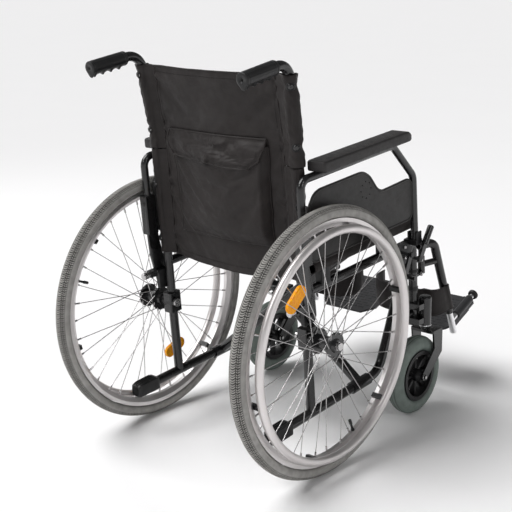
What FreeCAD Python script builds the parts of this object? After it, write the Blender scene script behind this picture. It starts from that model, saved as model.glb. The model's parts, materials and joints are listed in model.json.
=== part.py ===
import FreeCAD, Part
import math
import os

from FreeCAD import Vector

# A folding manual wheelchair, in millimetres: +Z is up, the sitter faces -Y, the sitter's left is +X.
# The origin is on the floor, in the middle of the chair's length and width.
# Each side is drawn in its own leaning plane: u runs forward along the rails, v runs up the posts,
# both from the rear axle. The left side is drawn, and the right side is its mirror image.

# ---- Driving dimensions ------------------------------------------------------------------------
AXLE_Y = 209.7                 # rear axle, behind the middle of the chair
FRAME_Z = 305.0                # height of the side frames' datum, where a 24 inch wheel has its axle
RAKE_DEG = 4.3                 # the whole side frame leans back by this angle

FRAME_X = 213.0                # middle plane of a side frame
TUBE_R = 11.0                  # frame tube
TUBE_WALL = 1.6
LOWER_V = -187.0               # lower rail
LOWER_TIP_U = -140.0
BEND_CLEAR = 32.5              # lower rail's bend, behind the castor tyre
DIAGONAL_DEG = 62.7            # the front of the lower rail climbs at this angle
UPPER_V = 103.0                # upper rail
POST_U = 424.0                 # front post
UPRIGHT_U = 4.0                # rear upright
UPRIGHT_KNEE_V = 430.0         # above this the backrest leans back
HANDLE_TOP = (8.0, -14.8, 608.8)     # outward of the frame, u, v of the corner under the handle
HANDLE_END = (12.5, -157.0, 596.5)   # outward of the frame, u, v of the handle tube's end
GRIP_START = 46.0              # grip's front end, behind the corner under the handle
GRIP_WALL = 5.0
GRIP_END_WALL = 5.0
SEAT_V = 152.0                 # seat rails, and so the top of the cross brace
SEAT_U0 = 30.0
SEAT_U1 = 418.0
SEAT_T = 6.0
SEAT_CLEAR = 1.6               # seat sling above the brace tubes
TIE_R = 8.0                    # short tie between the diagonal and the front post

WHEEL_R = 305.0                # 24 inch rear wheel
WHEEL_OUT = 59.0               # wheel plane, outward of the side frame
TYRE_HALF = 18.0
TYRE_WALL = 4.0
TYRE_DEPTH = 28.0              # tread to rim edge
RIM_DEPTH = 19.5               # rim edge to rim bed
RIM_HALF = 12.5
RIM_WALL = 2.0
HUB_HALF = 30.0
HUB_R = 16.0
FLANGE_R = 29.0
FLANGE_T = 4.0
FLANGE_AT = 22.0               # flange middles, each side of the wheel plane
SPOKES = 36
SPOKE_R = 0.95
NIPPLE_R = 2.2
NIPPLE_LEN = 12.0
LACING_DEG = 60.0              # how far round the hub a spoke starts from where it ends
AXLE_R = 6.0
AXLE_HEAD_IN = 17.0            # axle bolt's head, inward of the side frame
HANDRIM_INSET = 1.5            # handrim's middle, inside the rim bed
HANDRIM_TUBE_R = 9.5
HANDRIM_WALL = 1.5
HANDRIM_OUT = 30.0             # outward of the wheel plane
STANDOFFS = 6
REFLECTOR_IN = 94.5            # reflector's middle, inside the rim bed

CASTOR_R = 100.0
CASTOR_HALF = 24.0
CASTOR_CORE_R = 64.0
CASTOR_OUT = 20.6              # outward of the side frame
SWIVEL_AHEAD = 20.5            # the swivel stands this far ahead of the front post
TRAIL = 47.0
STEM_R = 8.0
HOUSING_R = 16.0
HOUSING_H = 72.0
HOUSING_CAP = 6.0              # dome over the housing's barrel
BAND_CLEAR = 16.8              # lower post band, above the castor's housing
CASTOR_BOLT_R = 4.0

ARM_OUT = 25.0                 # armrest plane, outward of the side frame
ARM_TUBE_R = 9.0
PAD_W = 50.0
PAD_U0 = 20.0
PAD_U1 = 342.0
PAD_T = 24.0
PANEL_T = 4.0
ARM_PIVOT = (-3.0, 55.0)       # u, v
ARM_PIN_R = 5.0
LATCH_PIN_R = 4.0

BRAKE_BEYOND_ARM = 20.0        # brake lever's plane, outward of the armrest
BRAKE_AHEAD = 79.0             # lever's pivot, ahead of the tyre
BRAKE_V = 77.0
SHOE_AHEAD = 45.0              # shoe's pivot, ahead of the tyre
SHOE_V = 98.0
SHOE_BAR_R = 6.5
SHOE_BAR_CLEAR = 14.7          # bar off the tyre with the brake open
SHOE_BAR_DEG = 9.17            # bar's place round the wheel, above the level of the axle
BRAKE_PIN_R = 4.0
BRAKE_BLADE = (-1.0, 4.0)      # faces of the lever and link, outward of the brake's plane

HANGER_OUT = 17.0              # footrest plane, outward of the side frame
HANGER_PIVOT_U = 462.5
HINGE_PIN_R = 4.0
HINGE_BARREL_R = 9.0
LUG_V = (9.5, 46.5)            # undersides of the two hinge lugs
LUG_T = 6.0
HANGER_TOP_V = 83.5
HANGER_WALL = 1.9
FOOT_TILT_DEG = 18.0           # the footplates tilt toe-up from the rails by this angle
FOOT_TUBE_U = 583.0            # lower end of the footrest tube
FOOT_TUBE_V = -189.0
FOOT_ROD_R = 7.0
PLATE_DROP = 34.0              # plate's top, under its pivot rod
PLATE_T = 6.0
PLATE_GAP = 31.0               # plate's inner edge, off the middle of the chair
PLATE_BACK = 12.0              # plate's rear edge, behind the hanger's line
PLATE_LENGTH = 150.0
HEEL_V = -112.0                # bottom of the heel loop
HEEL_H = 68.0

BACK_V0 = 130.0                # bottom and top of the back sling
BACK_V1 = 583.0
BACK_SCREWS_V = (165.0, 300.0, 430.0, 560.0)

BRACE_R = 12.5                 # cross brace tube
BRACE_WALL = 1.8
BRACE_U = 175.0
BRACE_SIDE = 14.0              # each brace tube stands this far to one side of the pivot
KNUCKLE_WALL = 3.5
KNUCKLE_LEN = 64.0
BRACE_BOLT_R = 4.0

RUN = 0.06                     # radial clearance of a running fit
GAP = 0.4                      # clearance between pieces that only pass each other

# ---- Values worked out from those above ----------------------------------------------------------
RAKE = math.radians(RAKE_DEG)
AXLE_V = (WHEEL_R - FRAME_Z) / math.cos(RAKE)
WHEEL_X = FRAME_X + WHEEL_OUT
RIM_R = WHEEL_R - TYRE_DEPTH
RIM_BED_R = RIM_R - RIM_DEPTH
HANDRIM_R = RIM_BED_R - HANDRIM_INSET
HANDRIM_X = WHEEL_X + HANDRIM_OUT
CASTOR_X = FRAME_X + CASTOR_OUT
ARM_X = FRAME_X + ARM_OUT
HANGER_X = FRAME_X + HANGER_OUT
BRAKE_X = ARM_X + BRAKE_BEYOND_ARM
BRAKE_PIVOT = (WHEEL_R + BRAKE_AHEAD, BRAKE_V)
BRAKE_MOUNT_U = WHEEL_R + 28   # rear edge of the brake's mounting plate
SHOE_PIVOT = (WHEEL_R + SHOE_AHEAD, SHOE_V)
PLATE_REACH = HANGER_X - PLATE_GAP
KNUCKLE_R = TUBE_R + KNUCKLE_WALL
LATCH_V = ARM_PIVOT[1] + 26.0
LATCH_X = ARM_X - 10.0
HUB_IN = WHEEL_X - HUB_HALF
HUB_OUT = WHEEL_X + HUB_HALF
PIVOT_V = (LOWER_V + SEAT_V) / 2
LOWER_BEND_U = POST_U + SWIVEL_AHEAD - TRAIL - CASTOR_R - BEND_CLEAR
CROWN_Z = 2 * CASTOR_R + 3.0
CROWN_T = 7.0
HOUSING_Z = CROWN_Z + CROWN_T + 8.0
DIAGONAL_SLOPE = math.tan(math.radians(DIAGONAL_DEG))
HANGER_LEAN = math.radians(FOOT_TILT_DEG)
X_AXIS = Vector(1, 0, 0)
Z_AXIS = Vector(0, 0, 1)


# ---- Places --------------------------------------------------------------------------------------
def at(x, u, v):
    """A point of the left side's own leaning frame."""
    return Vector(x, -u, v)


def forward(length):
    return Vector(0, -length, 0)


def lean(shape):
    """Moves a shape from the leaning frame to the chair's frame."""
    moved = shape.copy()
    moved.rotate(Vector(0, 0, 0), X_AXIS, -RAKE_DEG)
    moved.translate(Vector(0, AXLE_Y, FRAME_Z))
    return moved


def world(x, u, v):
    """The chair's coordinates of a point of the leaning frame."""
    y = AXLE_Y - u * math.cos(RAKE) + v * math.sin(RAKE)
    z = FRAME_Z + u * math.sin(RAKE) + v * math.cos(RAKE)
    return Vector(x, y, z)


def height_v(z, u):
    """v of a point at height z above the floor."""
    return (z - FRAME_Z - u * math.sin(RAKE)) / math.cos(RAKE)


def on_post(z):
    """Where the front post's middle is at height z above the floor."""
    return world(FRAME_X, POST_U, height_v(z, POST_U))


def hanger_u(v):
    """u of the footrest hanger's sloping line at height v."""
    return FOOT_TUBE_U - (v - FOOT_TUBE_V) * math.tan(HANGER_LEAN)


# ---- Shapes --------------------------------------------------------------------------------------
def rod(start, end, radius):
    axis = end - start
    return Part.makeCylinder(radius, axis.Length, start, axis)


def hollow_rod(start, end, radius, bore):
    return rod(start, end, radius).cut(rod(start, end, bore))


def bent_line(points, bends):
    """Straight runs through points, with a round bend at each inner point."""
    edges = []
    start = points[0]
    for i, bend in enumerate(bends, 1):
        corner = points[i]
        back = (points[i - 1] - corner).normalize()
        ahead = (points[i + 1] - corner).normalize()
        half = back.getAngle(ahead) / 2
        reach = bend / math.tan(half)
        first = corner + back * reach
        last = corner + ahead * reach
        middle = corner + (back + ahead).normalize() * (bend / math.sin(half) - bend)
        edges.append(Part.LineSegment(start, first).toShape())
        edges.append(Part.Arc(first, middle, last).toShape())
        start = last
    edges.append(Part.LineSegment(start, points[-1]).toShape())
    return Part.Wire(edges)


def bent_rod(points, bends, radius):
    path = bent_line(points, bends)
    ring = Part.Wire([Part.Circle(points[0], points[1] - points[0], radius).toShape()])
    return path.makePipeShell([ring], True, True)


def bent_tube(points, bends, radius, wall):
    """A hollow bent tube, and the same tube filled, for shaping what meets it."""
    full = bent_rod(points, bends, radius)
    return full.cut(bent_rod(points, bends, radius - wall)), full


def box(x0, x1, u0, u1, v0, v1):
    """A block of the leaning frame."""
    return Part.makeBox(x1 - x0, u1 - u0, v1 - v0, at(x0, u1, v0))


def slab(outline, x0, x1):
    """A plate of the leaning frame, from its outline in u and v."""
    points = [at(x0, u, v) for u, v in outline]
    face = Part.Face(Part.makePolygon(points + points[:1]))
    return face.extrude(Vector(x1 - x0, 0, 0))


def turned(profile, centre):
    """A ring about the sideways axis through centre, from its profile of (x, radius) points."""
    points = [centre + Vector(x, 0, r) for x, r in profile]
    face = Part.Face(Part.makePolygon(points + points[:1]))
    return face.revolve(centre, X_AXIS, 360)


def largest(shape):
    """The biggest solid of a cut, without the offcuts beyond the tube that it was shaped to."""
    return max(shape.Solids, key=lambda s: s.Volume)


def rounded(shape, radius, direction=None):
    """Rounds the edges that run along direction, or all of them."""
    edges = []
    for edge in shape.Edges:
        run = edge.Vertexes[-1].Point - edge.Vertexes[0].Point
        if direction is None or run.cross(direction).Length < 1e-6 * max(run.Length, 1):
            edges.append(edge)
    return shape.makeFillet(radius, edges)


def dome(start, direction, radius, height):
    """A screw or bolt head with a rounded top, standing on start."""
    way = Vector(direction).normalize()
    head = Part.makeCylinder(radius, height, start, way)
    top = max(head.Edges, key=lambda e: e.CenterOfMass.dot(way) if e.Closed else -1e9)
    return head.makeFillet(height * 0.55, [top])


def mirrored(shape):
    return shape.mirror(Vector(0, 0, 0), X_AXIS)


# ---- Side frame ----------------------------------------------------------------------------------
def handle_points():
    knee = at(FRAME_X, UPRIGHT_U, UPRIGHT_KNEE_V)
    top = at(FRAME_X + HANDLE_TOP[0], HANDLE_TOP[1], HANDLE_TOP[2])
    end = at(FRAME_X + HANDLE_END[0], HANDLE_END[1], HANDLE_END[2])
    return knee, top, end


def rear_upright():
    knee, top, end = handle_points()
    foot = at(FRAME_X, UPRIGHT_U, LOWER_V)
    return bent_tube([foot, knee, top, end], [160.0, 38.0], TUBE_R, TUBE_WALL)


def lower_rail():
    climb = (UPPER_V - LOWER_V) / DIAGONAL_SLOPE
    points = [
        at(FRAME_X, LOWER_TIP_U, LOWER_V),
        at(FRAME_X, LOWER_BEND_U, LOWER_V),
        at(FRAME_X, LOWER_BEND_U + climb, UPPER_V),
    ]
    return bent_tube(points, [55.0], TUBE_R, TUBE_WALL)


def post_foot_v():
    return height_v(HOUSING_Z + 4.0, POST_U)


def upper_rail():
    points = [
        at(FRAME_X, UPRIGHT_U, UPPER_V),
        at(FRAME_X, POST_U, UPPER_V),
        at(FRAME_X, POST_U, post_foot_v()),
    ]
    return bent_tube(points, [26.0], TUBE_R, TUBE_WALL)


def hinge_rod(v0, v1, radius):
    """A rod on the footrest hinge's line, from height v0 to v1."""
    return rod(at(FRAME_X, HANGER_PIVOT_U, v0), at(FRAME_X, HANGER_PIVOT_U, v1), radius)


def hinge_lugs():
    """Two welded ears on the front post that carry the footrest's pivot pin."""
    lugs = []
    half = HINGE_BARREL_R
    hole = hinge_rod(0.0, HANGER_TOP_V, HINGE_PIN_R + RUN)
    for v in LUG_V:
        ear = box(FRAME_X - half, FRAME_X + half, POST_U, HANGER_PIVOT_U, v, v + LUG_T)
        nose = hinge_rod(v, v + LUG_T, half)
        lugs.append(ear.fuse(nose).removeSplitter().cut(hole))
    return lugs


def axle_at(out):
    """A point of the rear axle's line, outward of the side frame."""
    return at(FRAME_X + out, 0, AXLE_V)


def side_frame():
    upright, upright_full = rear_upright()
    lower, lower_full = lower_rail()
    upper, upper_full = upper_rail()
    bore = rod(axle_at(-40.0), axle_at(40.0), AXLE_R)
    tie_v = height_v(HOUSING_Z + HOUSING_H / 2, POST_U)
    tie_u = LOWER_BEND_U + (tie_v - LOWER_V) / DIAGONAL_SLOPE
    tie_ends = [at(FRAME_X, u, tie_v) for u in (tie_u, POST_U)]
    tie = hollow_rod(tie_ends[0], tie_ends[1], TIE_R, TIE_R - 1.5)
    tubes = [
        upright.cut(lower_full).cut(bore),
        lower.cut(upper_full),
        upper.cut(upright_full),
        tie.cut(lower_full).cut(upper_full),
    ]
    return [largest(tube) for tube in tubes] + [lug.cut(upper_full) for lug in hinge_lugs()]


def push_grip():
    knee, top, end = handle_points()
    way = (end - top).normalize()
    start = top + way * GRIP_START
    finish = end + way * GRIP_END_WALL
    grip = rod(start, finish, TUBE_R + GRIP_WALL)
    grip = rounded(grip, 3.0)
    return [grip.cut(rear_upright()[1])]


# ---- Fittings on the side frame --------------------------------------------------------------------
def tipping_cover():
    """The ribbed plastic cover on the rear tip of the lower rail."""
    end = at(FRAME_X, LOWER_TIP_U - 5, LOWER_V)
    cover = rounded(rod(end, at(FRAME_X, LOWER_TIP_U + 55, LOWER_V), TUBE_R + 3.0), 2.0)
    return cover.cut(lower_rail()[1])


def arm_bracket():
    """The plate on the rear upright that the armrest's foot turns on, with its pin."""
    u, v = ARM_PIVOT
    inner = FRAME_X + TUBE_R - 3.0
    plate = slab([(u - 20, v - 18), (u + 18, v - 18), (u + 18, v + 30), (u - 20, v + 30)],
                 inner, ARM_X - 7)
    plate = rounded(plate, 5.0, X_AXIS)
    pin = rod(at(inner, u, v), at(ARM_X + 2.6, u, v), ARM_PIN_R)
    head = rod(at(ARM_X + 0.1, u, v), at(ARM_X + 2.6, u, v), 9.0)
    bracket = plate.fuse(pin).fuse(head).cut(rear_upright()[1])
    return largest(bracket)


def arm_saddle():
    """The open-topped saddle on the upper rail that the armrest's front leg drops into."""
    u = 398.0
    top = UPPER_V + TUBE_R
    base = box(FRAME_X + 2, ARM_X + 13, u - 13, u + 13, top - 6, top + 6)
    inner_cheek = box(ARM_X - 13, ARM_X - ARM_TUBE_R - GAP, u - 11, u + 11, top + 6, top + 26)
    outer_cheek = box(ARM_X + ARM_TUBE_R + GAP, ARM_X + 13, u - 11, u + 11, top + 6, top + 26)
    saddle = base.fuse([inner_cheek, outer_cheek]).removeSplitter()
    return largest(saddle.cut(upper_rail()[1]))


def brake_mount():
    """The clamp plate on the upper rail that carries the parking brake's two pivots."""
    rear = BRAKE_MOUNT_U
    front = POST_U - 28
    outline = [(rear, 66), (front, 62), (front, 100), (front - 12, 117), (rear + 12, 117), (rear, 108)]
    mount = slab(outline, FRAME_X + TUBE_R - 3, FRAME_X + TUBE_R + 5)
    cap_end = BRAKE_X + BRAKE_BLADE[1] + 2.6
    for u, v in (BRAKE_PIVOT, SHOE_PIVOT):
        pin = rod(at(FRAME_X + TUBE_R, u, v), at(cap_end, u, v), BRAKE_PIN_R)
        cap = rod(at(cap_end - 2.3, u, v), at(cap_end, u, v), 7.0)
        mount = mount.fuse([pin, cap])
    return largest(mount.cut(upper_rail()[1]).cut(lower_rail()[1]).cut(arm_saddle()))


def seat_saddle(u):
    """A plastic block on the upper rail with an open groove that the seat rail rests in."""
    half = TUBE_R - 0.5
    block = box(FRAME_X - half, FRAME_X + half, u - 16, u + 16, UPPER_V, SEAT_V - 4)
    block = rounded(block, 3.0, Z_AXIS)
    groove = rod(at(FRAME_X, u - 20, SEAT_V), at(FRAME_X, u + 20, SEAT_V), TUBE_R + GAP)
    return largest(block.cut(upper_rail()[1]).cut(groove))


def post_band(v, height):
    """A sheet-metal band round the front post."""
    return hollow_rod(at(FRAME_X, POST_U, v), at(FRAME_X, POST_U, v + height), TUBE_R + 1.6, TUBE_R)


def frame_fittings():
    return [
        tipping_cover(),
        arm_bracket(),
        arm_saddle(),
        brake_mount(),
        seat_saddle(70.0),
        seat_saddle(BRAKE_MOUNT_U - 33),
        post_band(24.0, 6.0),
        post_band(height_v(HOUSING_Z + HOUSING_H + HOUSING_CAP, POST_U) + BAND_CLEAR, 9.0),
    ]


def axle_bracket():
    """The sleeve that the rear axle sits in, on its clamp block round the rear upright."""
    side = TUBE_R + 3.0
    ahead = TUBE_R + 7.0
    block = box(FRAME_X - side, FRAME_X + side, UPRIGHT_U - ahead, UPRIGHT_U + ahead,
                AXLE_V - 26, AXLE_V + 24)
    block = rounded(block, 4.0, Z_AXIS)
    sleeve = rod(axle_at(-AXLE_HEAD_IN), at(HUB_IN - 1.0, 0, AXLE_V), 2 * AXLE_R)
    bracket = block.fuse(sleeve).cut(rear_upright()[1])
    return bracket.cut(rod(axle_at(-40.0), axle_at(WHEEL_OUT), AXLE_R)).Solids


def rear_axle():
    """The axle bolt, with its head inside the frame and its nut outside the hub."""
    start = axle_at(-AXLE_HEAD_IN)
    hub_face = at(HUB_OUT + 0.3, 0, AXLE_V)
    end = hub_face + X_AXIS * 7.7
    bolt = rod(start - X_AXIS * 7.0, end, AXLE_R)
    head = rod(start - X_AXIS * 7.0, start, AXLE_R + 4.0)
    washer = rod(hub_face, hub_face + X_AXIS * 1.5, AXLE_R + 3.5)
    nut = rod(hub_face + X_AXIS * 1.5, end, AXLE_R + 2.5)
    return [bolt.fuse([head, washer, nut]).removeSplitter()]


def upright_at(v):
    """The rear upright's middle at height v."""
    knee, top, end = handle_points()
    if v <= UPRIGHT_KNEE_V:
        return at(FRAME_X, UPRIGHT_U, v)
    share = (v - UPRIGHT_KNEE_V) / (HANDLE_TOP[2] - UPRIGHT_KNEE_V)
    return knee + (top - knee) * share


def frame_fasteners():
    """Screws that hold the back on the upright, and the bolts of the castor and brake brackets."""
    screws = []
    for v in BACK_SCREWS_V:
        out = Vector(0.62, 0.78, 0)
        screws.append(dome(upright_at(v) + out * TUBE_R, out, 6.0, 4.5).cut(rear_upright()[1]))
    for v in (80.0, 106.0):
        screws.append(dome(at(FRAME_X + TUBE_R + 5, WHEEL_R + 63, v), X_AXIS, 4.5, 4.0))
    return screws


# ---- Rear wheel ------------------------------------------------------------------------------------
def wheel_centre():
    return Vector(WHEEL_X, AXLE_Y + AXLE_V * math.sin(RAKE), WHEEL_R)


def tyre_profile(half, tip, base_r, base_half, centre):
    """A round tyre section from one bead over the tread to the other."""
    shoulder = base_r + 2.5
    left = centre + Vector(-half * 0.91, 0, shoulder)
    right = centre + Vector(half * 0.91, 0, shoulder)
    crown = centre + Vector(0, 0, tip)
    bead_left = centre + Vector(-base_half, 0, base_r)
    bead_right = centre + Vector(base_half, 0, base_r)
    return [
        Part.LineSegment(bead_left, left).toShape(),
        Part.Arc(left, crown, right).toShape(),
        Part.LineSegment(right, bead_right).toShape(),
        Part.LineSegment(bead_right, bead_left).toShape(),
    ]


def rear_tyre():
    centre = wheel_centre()
    outer = Part.Face(Part.Wire(tyre_profile(TYRE_HALF, WHEEL_R, RIM_R, 11.0, centre)))
    inner_half = TYRE_HALF - TYRE_WALL
    inner = Part.Face(Part.Wire(
        tyre_profile(inner_half, WHEEL_R - TYRE_WALL, RIM_R - 0.5, 7.5, centre)))
    section = outer.cut(inner)
    return [section.revolve(centre, X_AXIS, 360).Solids[0]]


def rear_rim():
    wall = RIM_WALL
    profile = [
        (-RIM_HALF, RIM_R), (-RIM_HALF, RIM_R - 9), (-5, RIM_BED_R), (5, RIM_BED_R),
        (RIM_HALF, RIM_R - 9), (RIM_HALF, RIM_R), (7.6, RIM_R), (7.6, RIM_R - wall),
        (RIM_HALF - wall, RIM_R - wall), (RIM_HALF - wall, RIM_R - 8.2),
        (4.2, RIM_BED_R + wall), (-4.2, RIM_BED_R + wall), (wall - RIM_HALF, RIM_R - 8.2),
        (wall - RIM_HALF, RIM_R - wall), (-7.6, RIM_R - wall), (-7.6, RIM_R),
    ]
    return [turned(profile, wheel_centre())]


def rear_hub():
    f0 = FLANGE_AT - FLANGE_T / 2
    f1 = FLANGE_AT + FLANGE_T / 2
    bore = AXLE_R + RUN
    profile = [
        (-HUB_HALF, bore), (-HUB_HALF, 13), (-f1, HUB_R), (-f1, FLANGE_R), (-f0, FLANGE_R),
        (-f0, HUB_R), (f0, HUB_R), (f0, FLANGE_R), (f1, FLANGE_R), (f1, HUB_R),
        (HUB_HALF, 13), (HUB_HALF, bore),
    ]
    return [turned(profile, wheel_centre())]


def wheel_point(angle, radius, x):
    """A point of the wheel: angle from straight up, radius from the axle, x from its plane."""
    a = math.radians(angle)
    return wheel_centre() + Vector(x, radius * math.sin(a), radius * math.cos(a))


def spokes():
    """Crossed spokes, each with its nipple at the rim. Crossing spokes pass side by side."""
    made = []
    for i in range(SPOKES):
        angle = i * 360.0 / SPOKES
        side = 1 if i % 2 else -1
        crossing = 1 if (i // 2) % 2 else -1
        reach = FLANGE_T / 2 + SPOKE_R + 0.4
        start = wheel_point(angle + crossing * LACING_DEG, FLANGE_R - 3.5,
                            side * FLANGE_AT + crossing * reach)
        end = wheel_point(angle, RIM_BED_R, side * 3.0 + crossing * 1.2)
        way = (end - start).normalize()
        wire = rod(start, end - way * 0.8, SPOKE_R)
        nipple = rod(end - way * NIPPLE_LEN, end - way * 0.8, NIPPLE_R)
        made.append(wire.fuse(nipple).removeSplitter())
    return made


def handrim():
    centre = wheel_centre() + Vector(HANDRIM_OUT, 0, 0)
    ring = Part.makeTorus(HANDRIM_R, HANDRIM_TUBE_R, centre, X_AXIS)
    inside = Part.makeTorus(HANDRIM_R, HANDRIM_TUBE_R - HANDRIM_WALL, centre, X_AXIS)
    return [ring.cut(inside)]


def standoffs():
    """Moulded brackets from the rim's bed out to the handrim."""
    centre = wheel_centre()
    ring = Part.makeTorus(HANDRIM_R, HANDRIM_TUBE_R, centre + Vector(HANDRIM_OUT, 0, 0), X_AXIS)
    inside_rim = Part.makeCylinder(RIM_BED_R, 80, centre - Vector(40, 0, 0), X_AXIS)
    made = []
    for i in range(STANDOFFS):
        length = HANDRIM_OUT - HANDRIM_TUBE_R + 6
        tab = Part.makeBox(length + 4, 11, 9, centre + Vector(-4, -5.5, RIM_BED_R - 8.5))
        tab = tab.common(inside_rim).cut(ring)
        tab = largest(tab)
        tab.rotate(centre, X_AXIS, 15 + i * 360.0 / STANDOFFS)
        made.append(tab)
    return made


def reflector():
    """An oval reflector held between the inner and outer spokes."""
    centre = wheel_centre() + Vector(-4.5, 0, RIM_BED_R - REFLECTOR_IN)
    half = 19.0
    r = 15.0
    flat = [
        Part.LineSegment(centre + Vector(0, -half, r), centre + Vector(0, half, r)).toShape(),
        Part.Arc(centre + Vector(0, half, r), centre + Vector(0, half + r, 0),
                 centre + Vector(0, half, -r)).toShape(),
        Part.LineSegment(centre + Vector(0, half, -r), centre + Vector(0, -half, -r)).toShape(),
        Part.Arc(centre + Vector(0, -half, -r), centre + Vector(0, -half - r, 0),
                 centre + Vector(0, -half, r)).toShape(),
    ]
    plate = Part.Face(Part.Wire(flat)).extrude(Vector(9, 0, 0))
    return rounded(plate, 2.0)


def reflector_at(angle):
    plate = reflector()
    plate.rotate(wheel_centre(), X_AXIS, -angle)
    return [plate]


# ---- Castor ----------------------------------------------------------------------------------------
def swivel_base():
    """The floor point under the castor's swivel axis."""
    post = on_post(HOUSING_Z + HOUSING_H / 2)
    return Vector(CASTOR_X, post.y - SWIVEL_AHEAD, 0)


def castor_centre():
    return swivel_base() + Vector(0, TRAIL, CASTOR_R)


def castor_housing():
    base = swivel_base() + Vector(0, 0, HOUSING_Z)
    top = HOUSING_H + HOUSING_CAP
    barrel = Part.makeCylinder(HOUSING_R, top, base, Z_AXIS)
    rim = [e for e in barrel.Edges if e.Closed and e.CenterOfMass.z > base.z + top - 1]
    barrel = barrel.makeFillet(7.0, rim)
    post = on_post(HOUSING_Z + HOUSING_H / 2)
    arms = []
    for z in (10.0, HOUSING_H - 24.0):
        low = base.z + z
        arm = Part.makeBox(CASTOR_OUT + 22, SWIVEL_AHEAD + 22, 14,
                           Vector(post.x - 14, base.y - 4, low))
        arms.append(arm)
    block = barrel.fuse(arms)
    corner = Part.makeBox(60, 60, 200, Vector(CASTOR_X + HOUSING_R - 1, base.y + 6, HOUSING_Z - 20))
    block = block.cut(corner)
    block = block.cut(lean(upper_rail()[1]))
    stem = Part.makeCylinder(STEM_R + RUN, HOUSING_H, base - Vector(0, 0, 1), Z_AXIS)
    block = block.cut(stem)
    return [largest(block)]


def fork_leg(x0, x1):
    """One leg of the castor fork, from the crown down and back to the axle bolt."""
    swivel_y = swivel_base().y
    axle_y = swivel_y + TRAIL
    front_y = swivel_y - 30
    top = CROWN_Z + CROWN_T
    end = 9.0
    points = [
        (front_y, top), (swivel_y + 10, top), (swivel_y + 4, CROWN_Z - 40),
        (axle_y + end, CASTOR_R + end), (axle_y + end, CASTOR_R - end),
        (axle_y - end, CASTOR_R - end), (front_y, CROWN_Z - 55),
    ]
    line = [Vector(x0, y, z) for y, z in points]
    leg = Part.Face(Part.makePolygon(line + line[:1])).extrude(Vector(x1 - x0, 0, 0))
    return rounded(leg, 6.0, X_AXIS)


def castor_fork():
    base = swivel_base()
    inner = CASTOR_HALF + 5.0
    outer = inner + 5.0
    crown = Part.makeBox(2 * outer, 44, CROWN_T, Vector(CASTOR_X - outer, base.y - 30, CROWN_Z))
    crown = rounded(crown, 6.0, Z_AXIS)
    legs = [
        fork_leg(CASTOR_X - outer, CASTOR_X - inner),
        fork_leg(CASTOR_X + inner, CASTOR_X + outer),
    ]
    collar = Part.makeCylinder(13.0, 7.4, base + Vector(0, 0, CROWN_Z + CROWN_T), Z_AXIS)
    stem = Part.makeCylinder(STEM_R, HOUSING_H + 4, base + Vector(0, 0, CROWN_Z + 1), Z_AXIS)
    fork = crown.fuse(legs + [collar, stem]).removeSplitter()
    centre = castor_centre()
    bolt = Part.makeCylinder(CASTOR_BOLT_R, 2 * outer + 6, centre - Vector(outer + 3, 0, 0), X_AXIS)
    heads = [
        Part.makeCylinder(7.0, 4.5, centre - Vector(outer + 4.5, 0, 0), X_AXIS),
        Part.makeCylinder(7.0, 4.5, centre + Vector(outer, 0, 0), X_AXIS),
    ]
    fork = fork.cut(bolt)
    return [fork, bolt.fuse(heads).removeSplitter()]


def castor_tyre():
    centre = castor_centre()
    half = CASTOR_HALF
    left = centre + Vector(-half + 1.5, 0, CASTOR_R - 24)
    right = centre + Vector(half - 1.5, 0, CASTOR_R - 24)
    crown = centre + Vector(0, 0, CASTOR_R)
    base_left = centre + Vector(-half + 4, 0, CASTOR_CORE_R)
    base_right = centre + Vector(half - 4, 0, CASTOR_CORE_R)
    face = Part.Face(Part.Wire([
        Part.LineSegment(base_left, left).toShape(),
        Part.Arc(left, crown, right).toShape(),
        Part.LineSegment(right, base_right).toShape(),
        Part.LineSegment(base_right, base_left).toShape(),
    ]))
    return [face.revolve(centre, X_AXIS, 360)]


def castor_wheel():
    """The moulded core: a rim, a hub and eight spokes."""
    centre = castor_centre()
    half = CASTOR_HALF - 4
    rim = turned([(-half, 54), (-half, CASTOR_CORE_R), (half, CASTOR_CORE_R), (half, 54)], centre)
    hub_half = CASTOR_HALF + 3.5
    bore = CASTOR_BOLT_R + RUN
    hub = turned([(-hub_half, bore), (-hub_half, 11), (-hub_half + 10, 16), (hub_half - 10, 16),
                  (hub_half, 11), (hub_half, bore)], centre)
    blades = []
    for i in range(8):
        blade = Part.makeBox(14, 7, 43, centre + Vector(-7, -3.5, 13))
        blade.rotate(centre, X_AXIS, i * 45.0)
        blades.append(blade)
    return [rim.fuse([hub] + blades).removeSplitter()]


# ---- Parking brake ---------------------------------------------------------------------------------
def brake_lever():
    """The hand lever: a flat blade with a rubber grip on its top."""
    u, v = BRAKE_PIVOT
    top_u = u + 49.0
    top_v = v + 62.5
    blade = slab([(u - 9, v - 7), (u + 7, v - 9), (top_u + 4, top_v - 8), (top_u - 7, top_v + 1)],
                 BRAKE_X + BRAKE_BLADE[0], BRAKE_X + BRAKE_BLADE[1])
    blade = rounded(blade, 3.0, X_AXIS)
    hole = rod(at(BRAKE_X - 9, u, v), at(BRAKE_X + 9, u, v), BRAKE_PIN_R + RUN)
    way = at(0, top_u - u, top_v - v).normalize()
    foot = at(BRAKE_X + 1.5, u, v) + way * 40.0
    grip = rounded(rod(foot, foot + way * 48.0, 8.0), 3.0)
    blade = blade.cut(hole)
    return [largest(blade), grip.cut(blade)]


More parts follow.
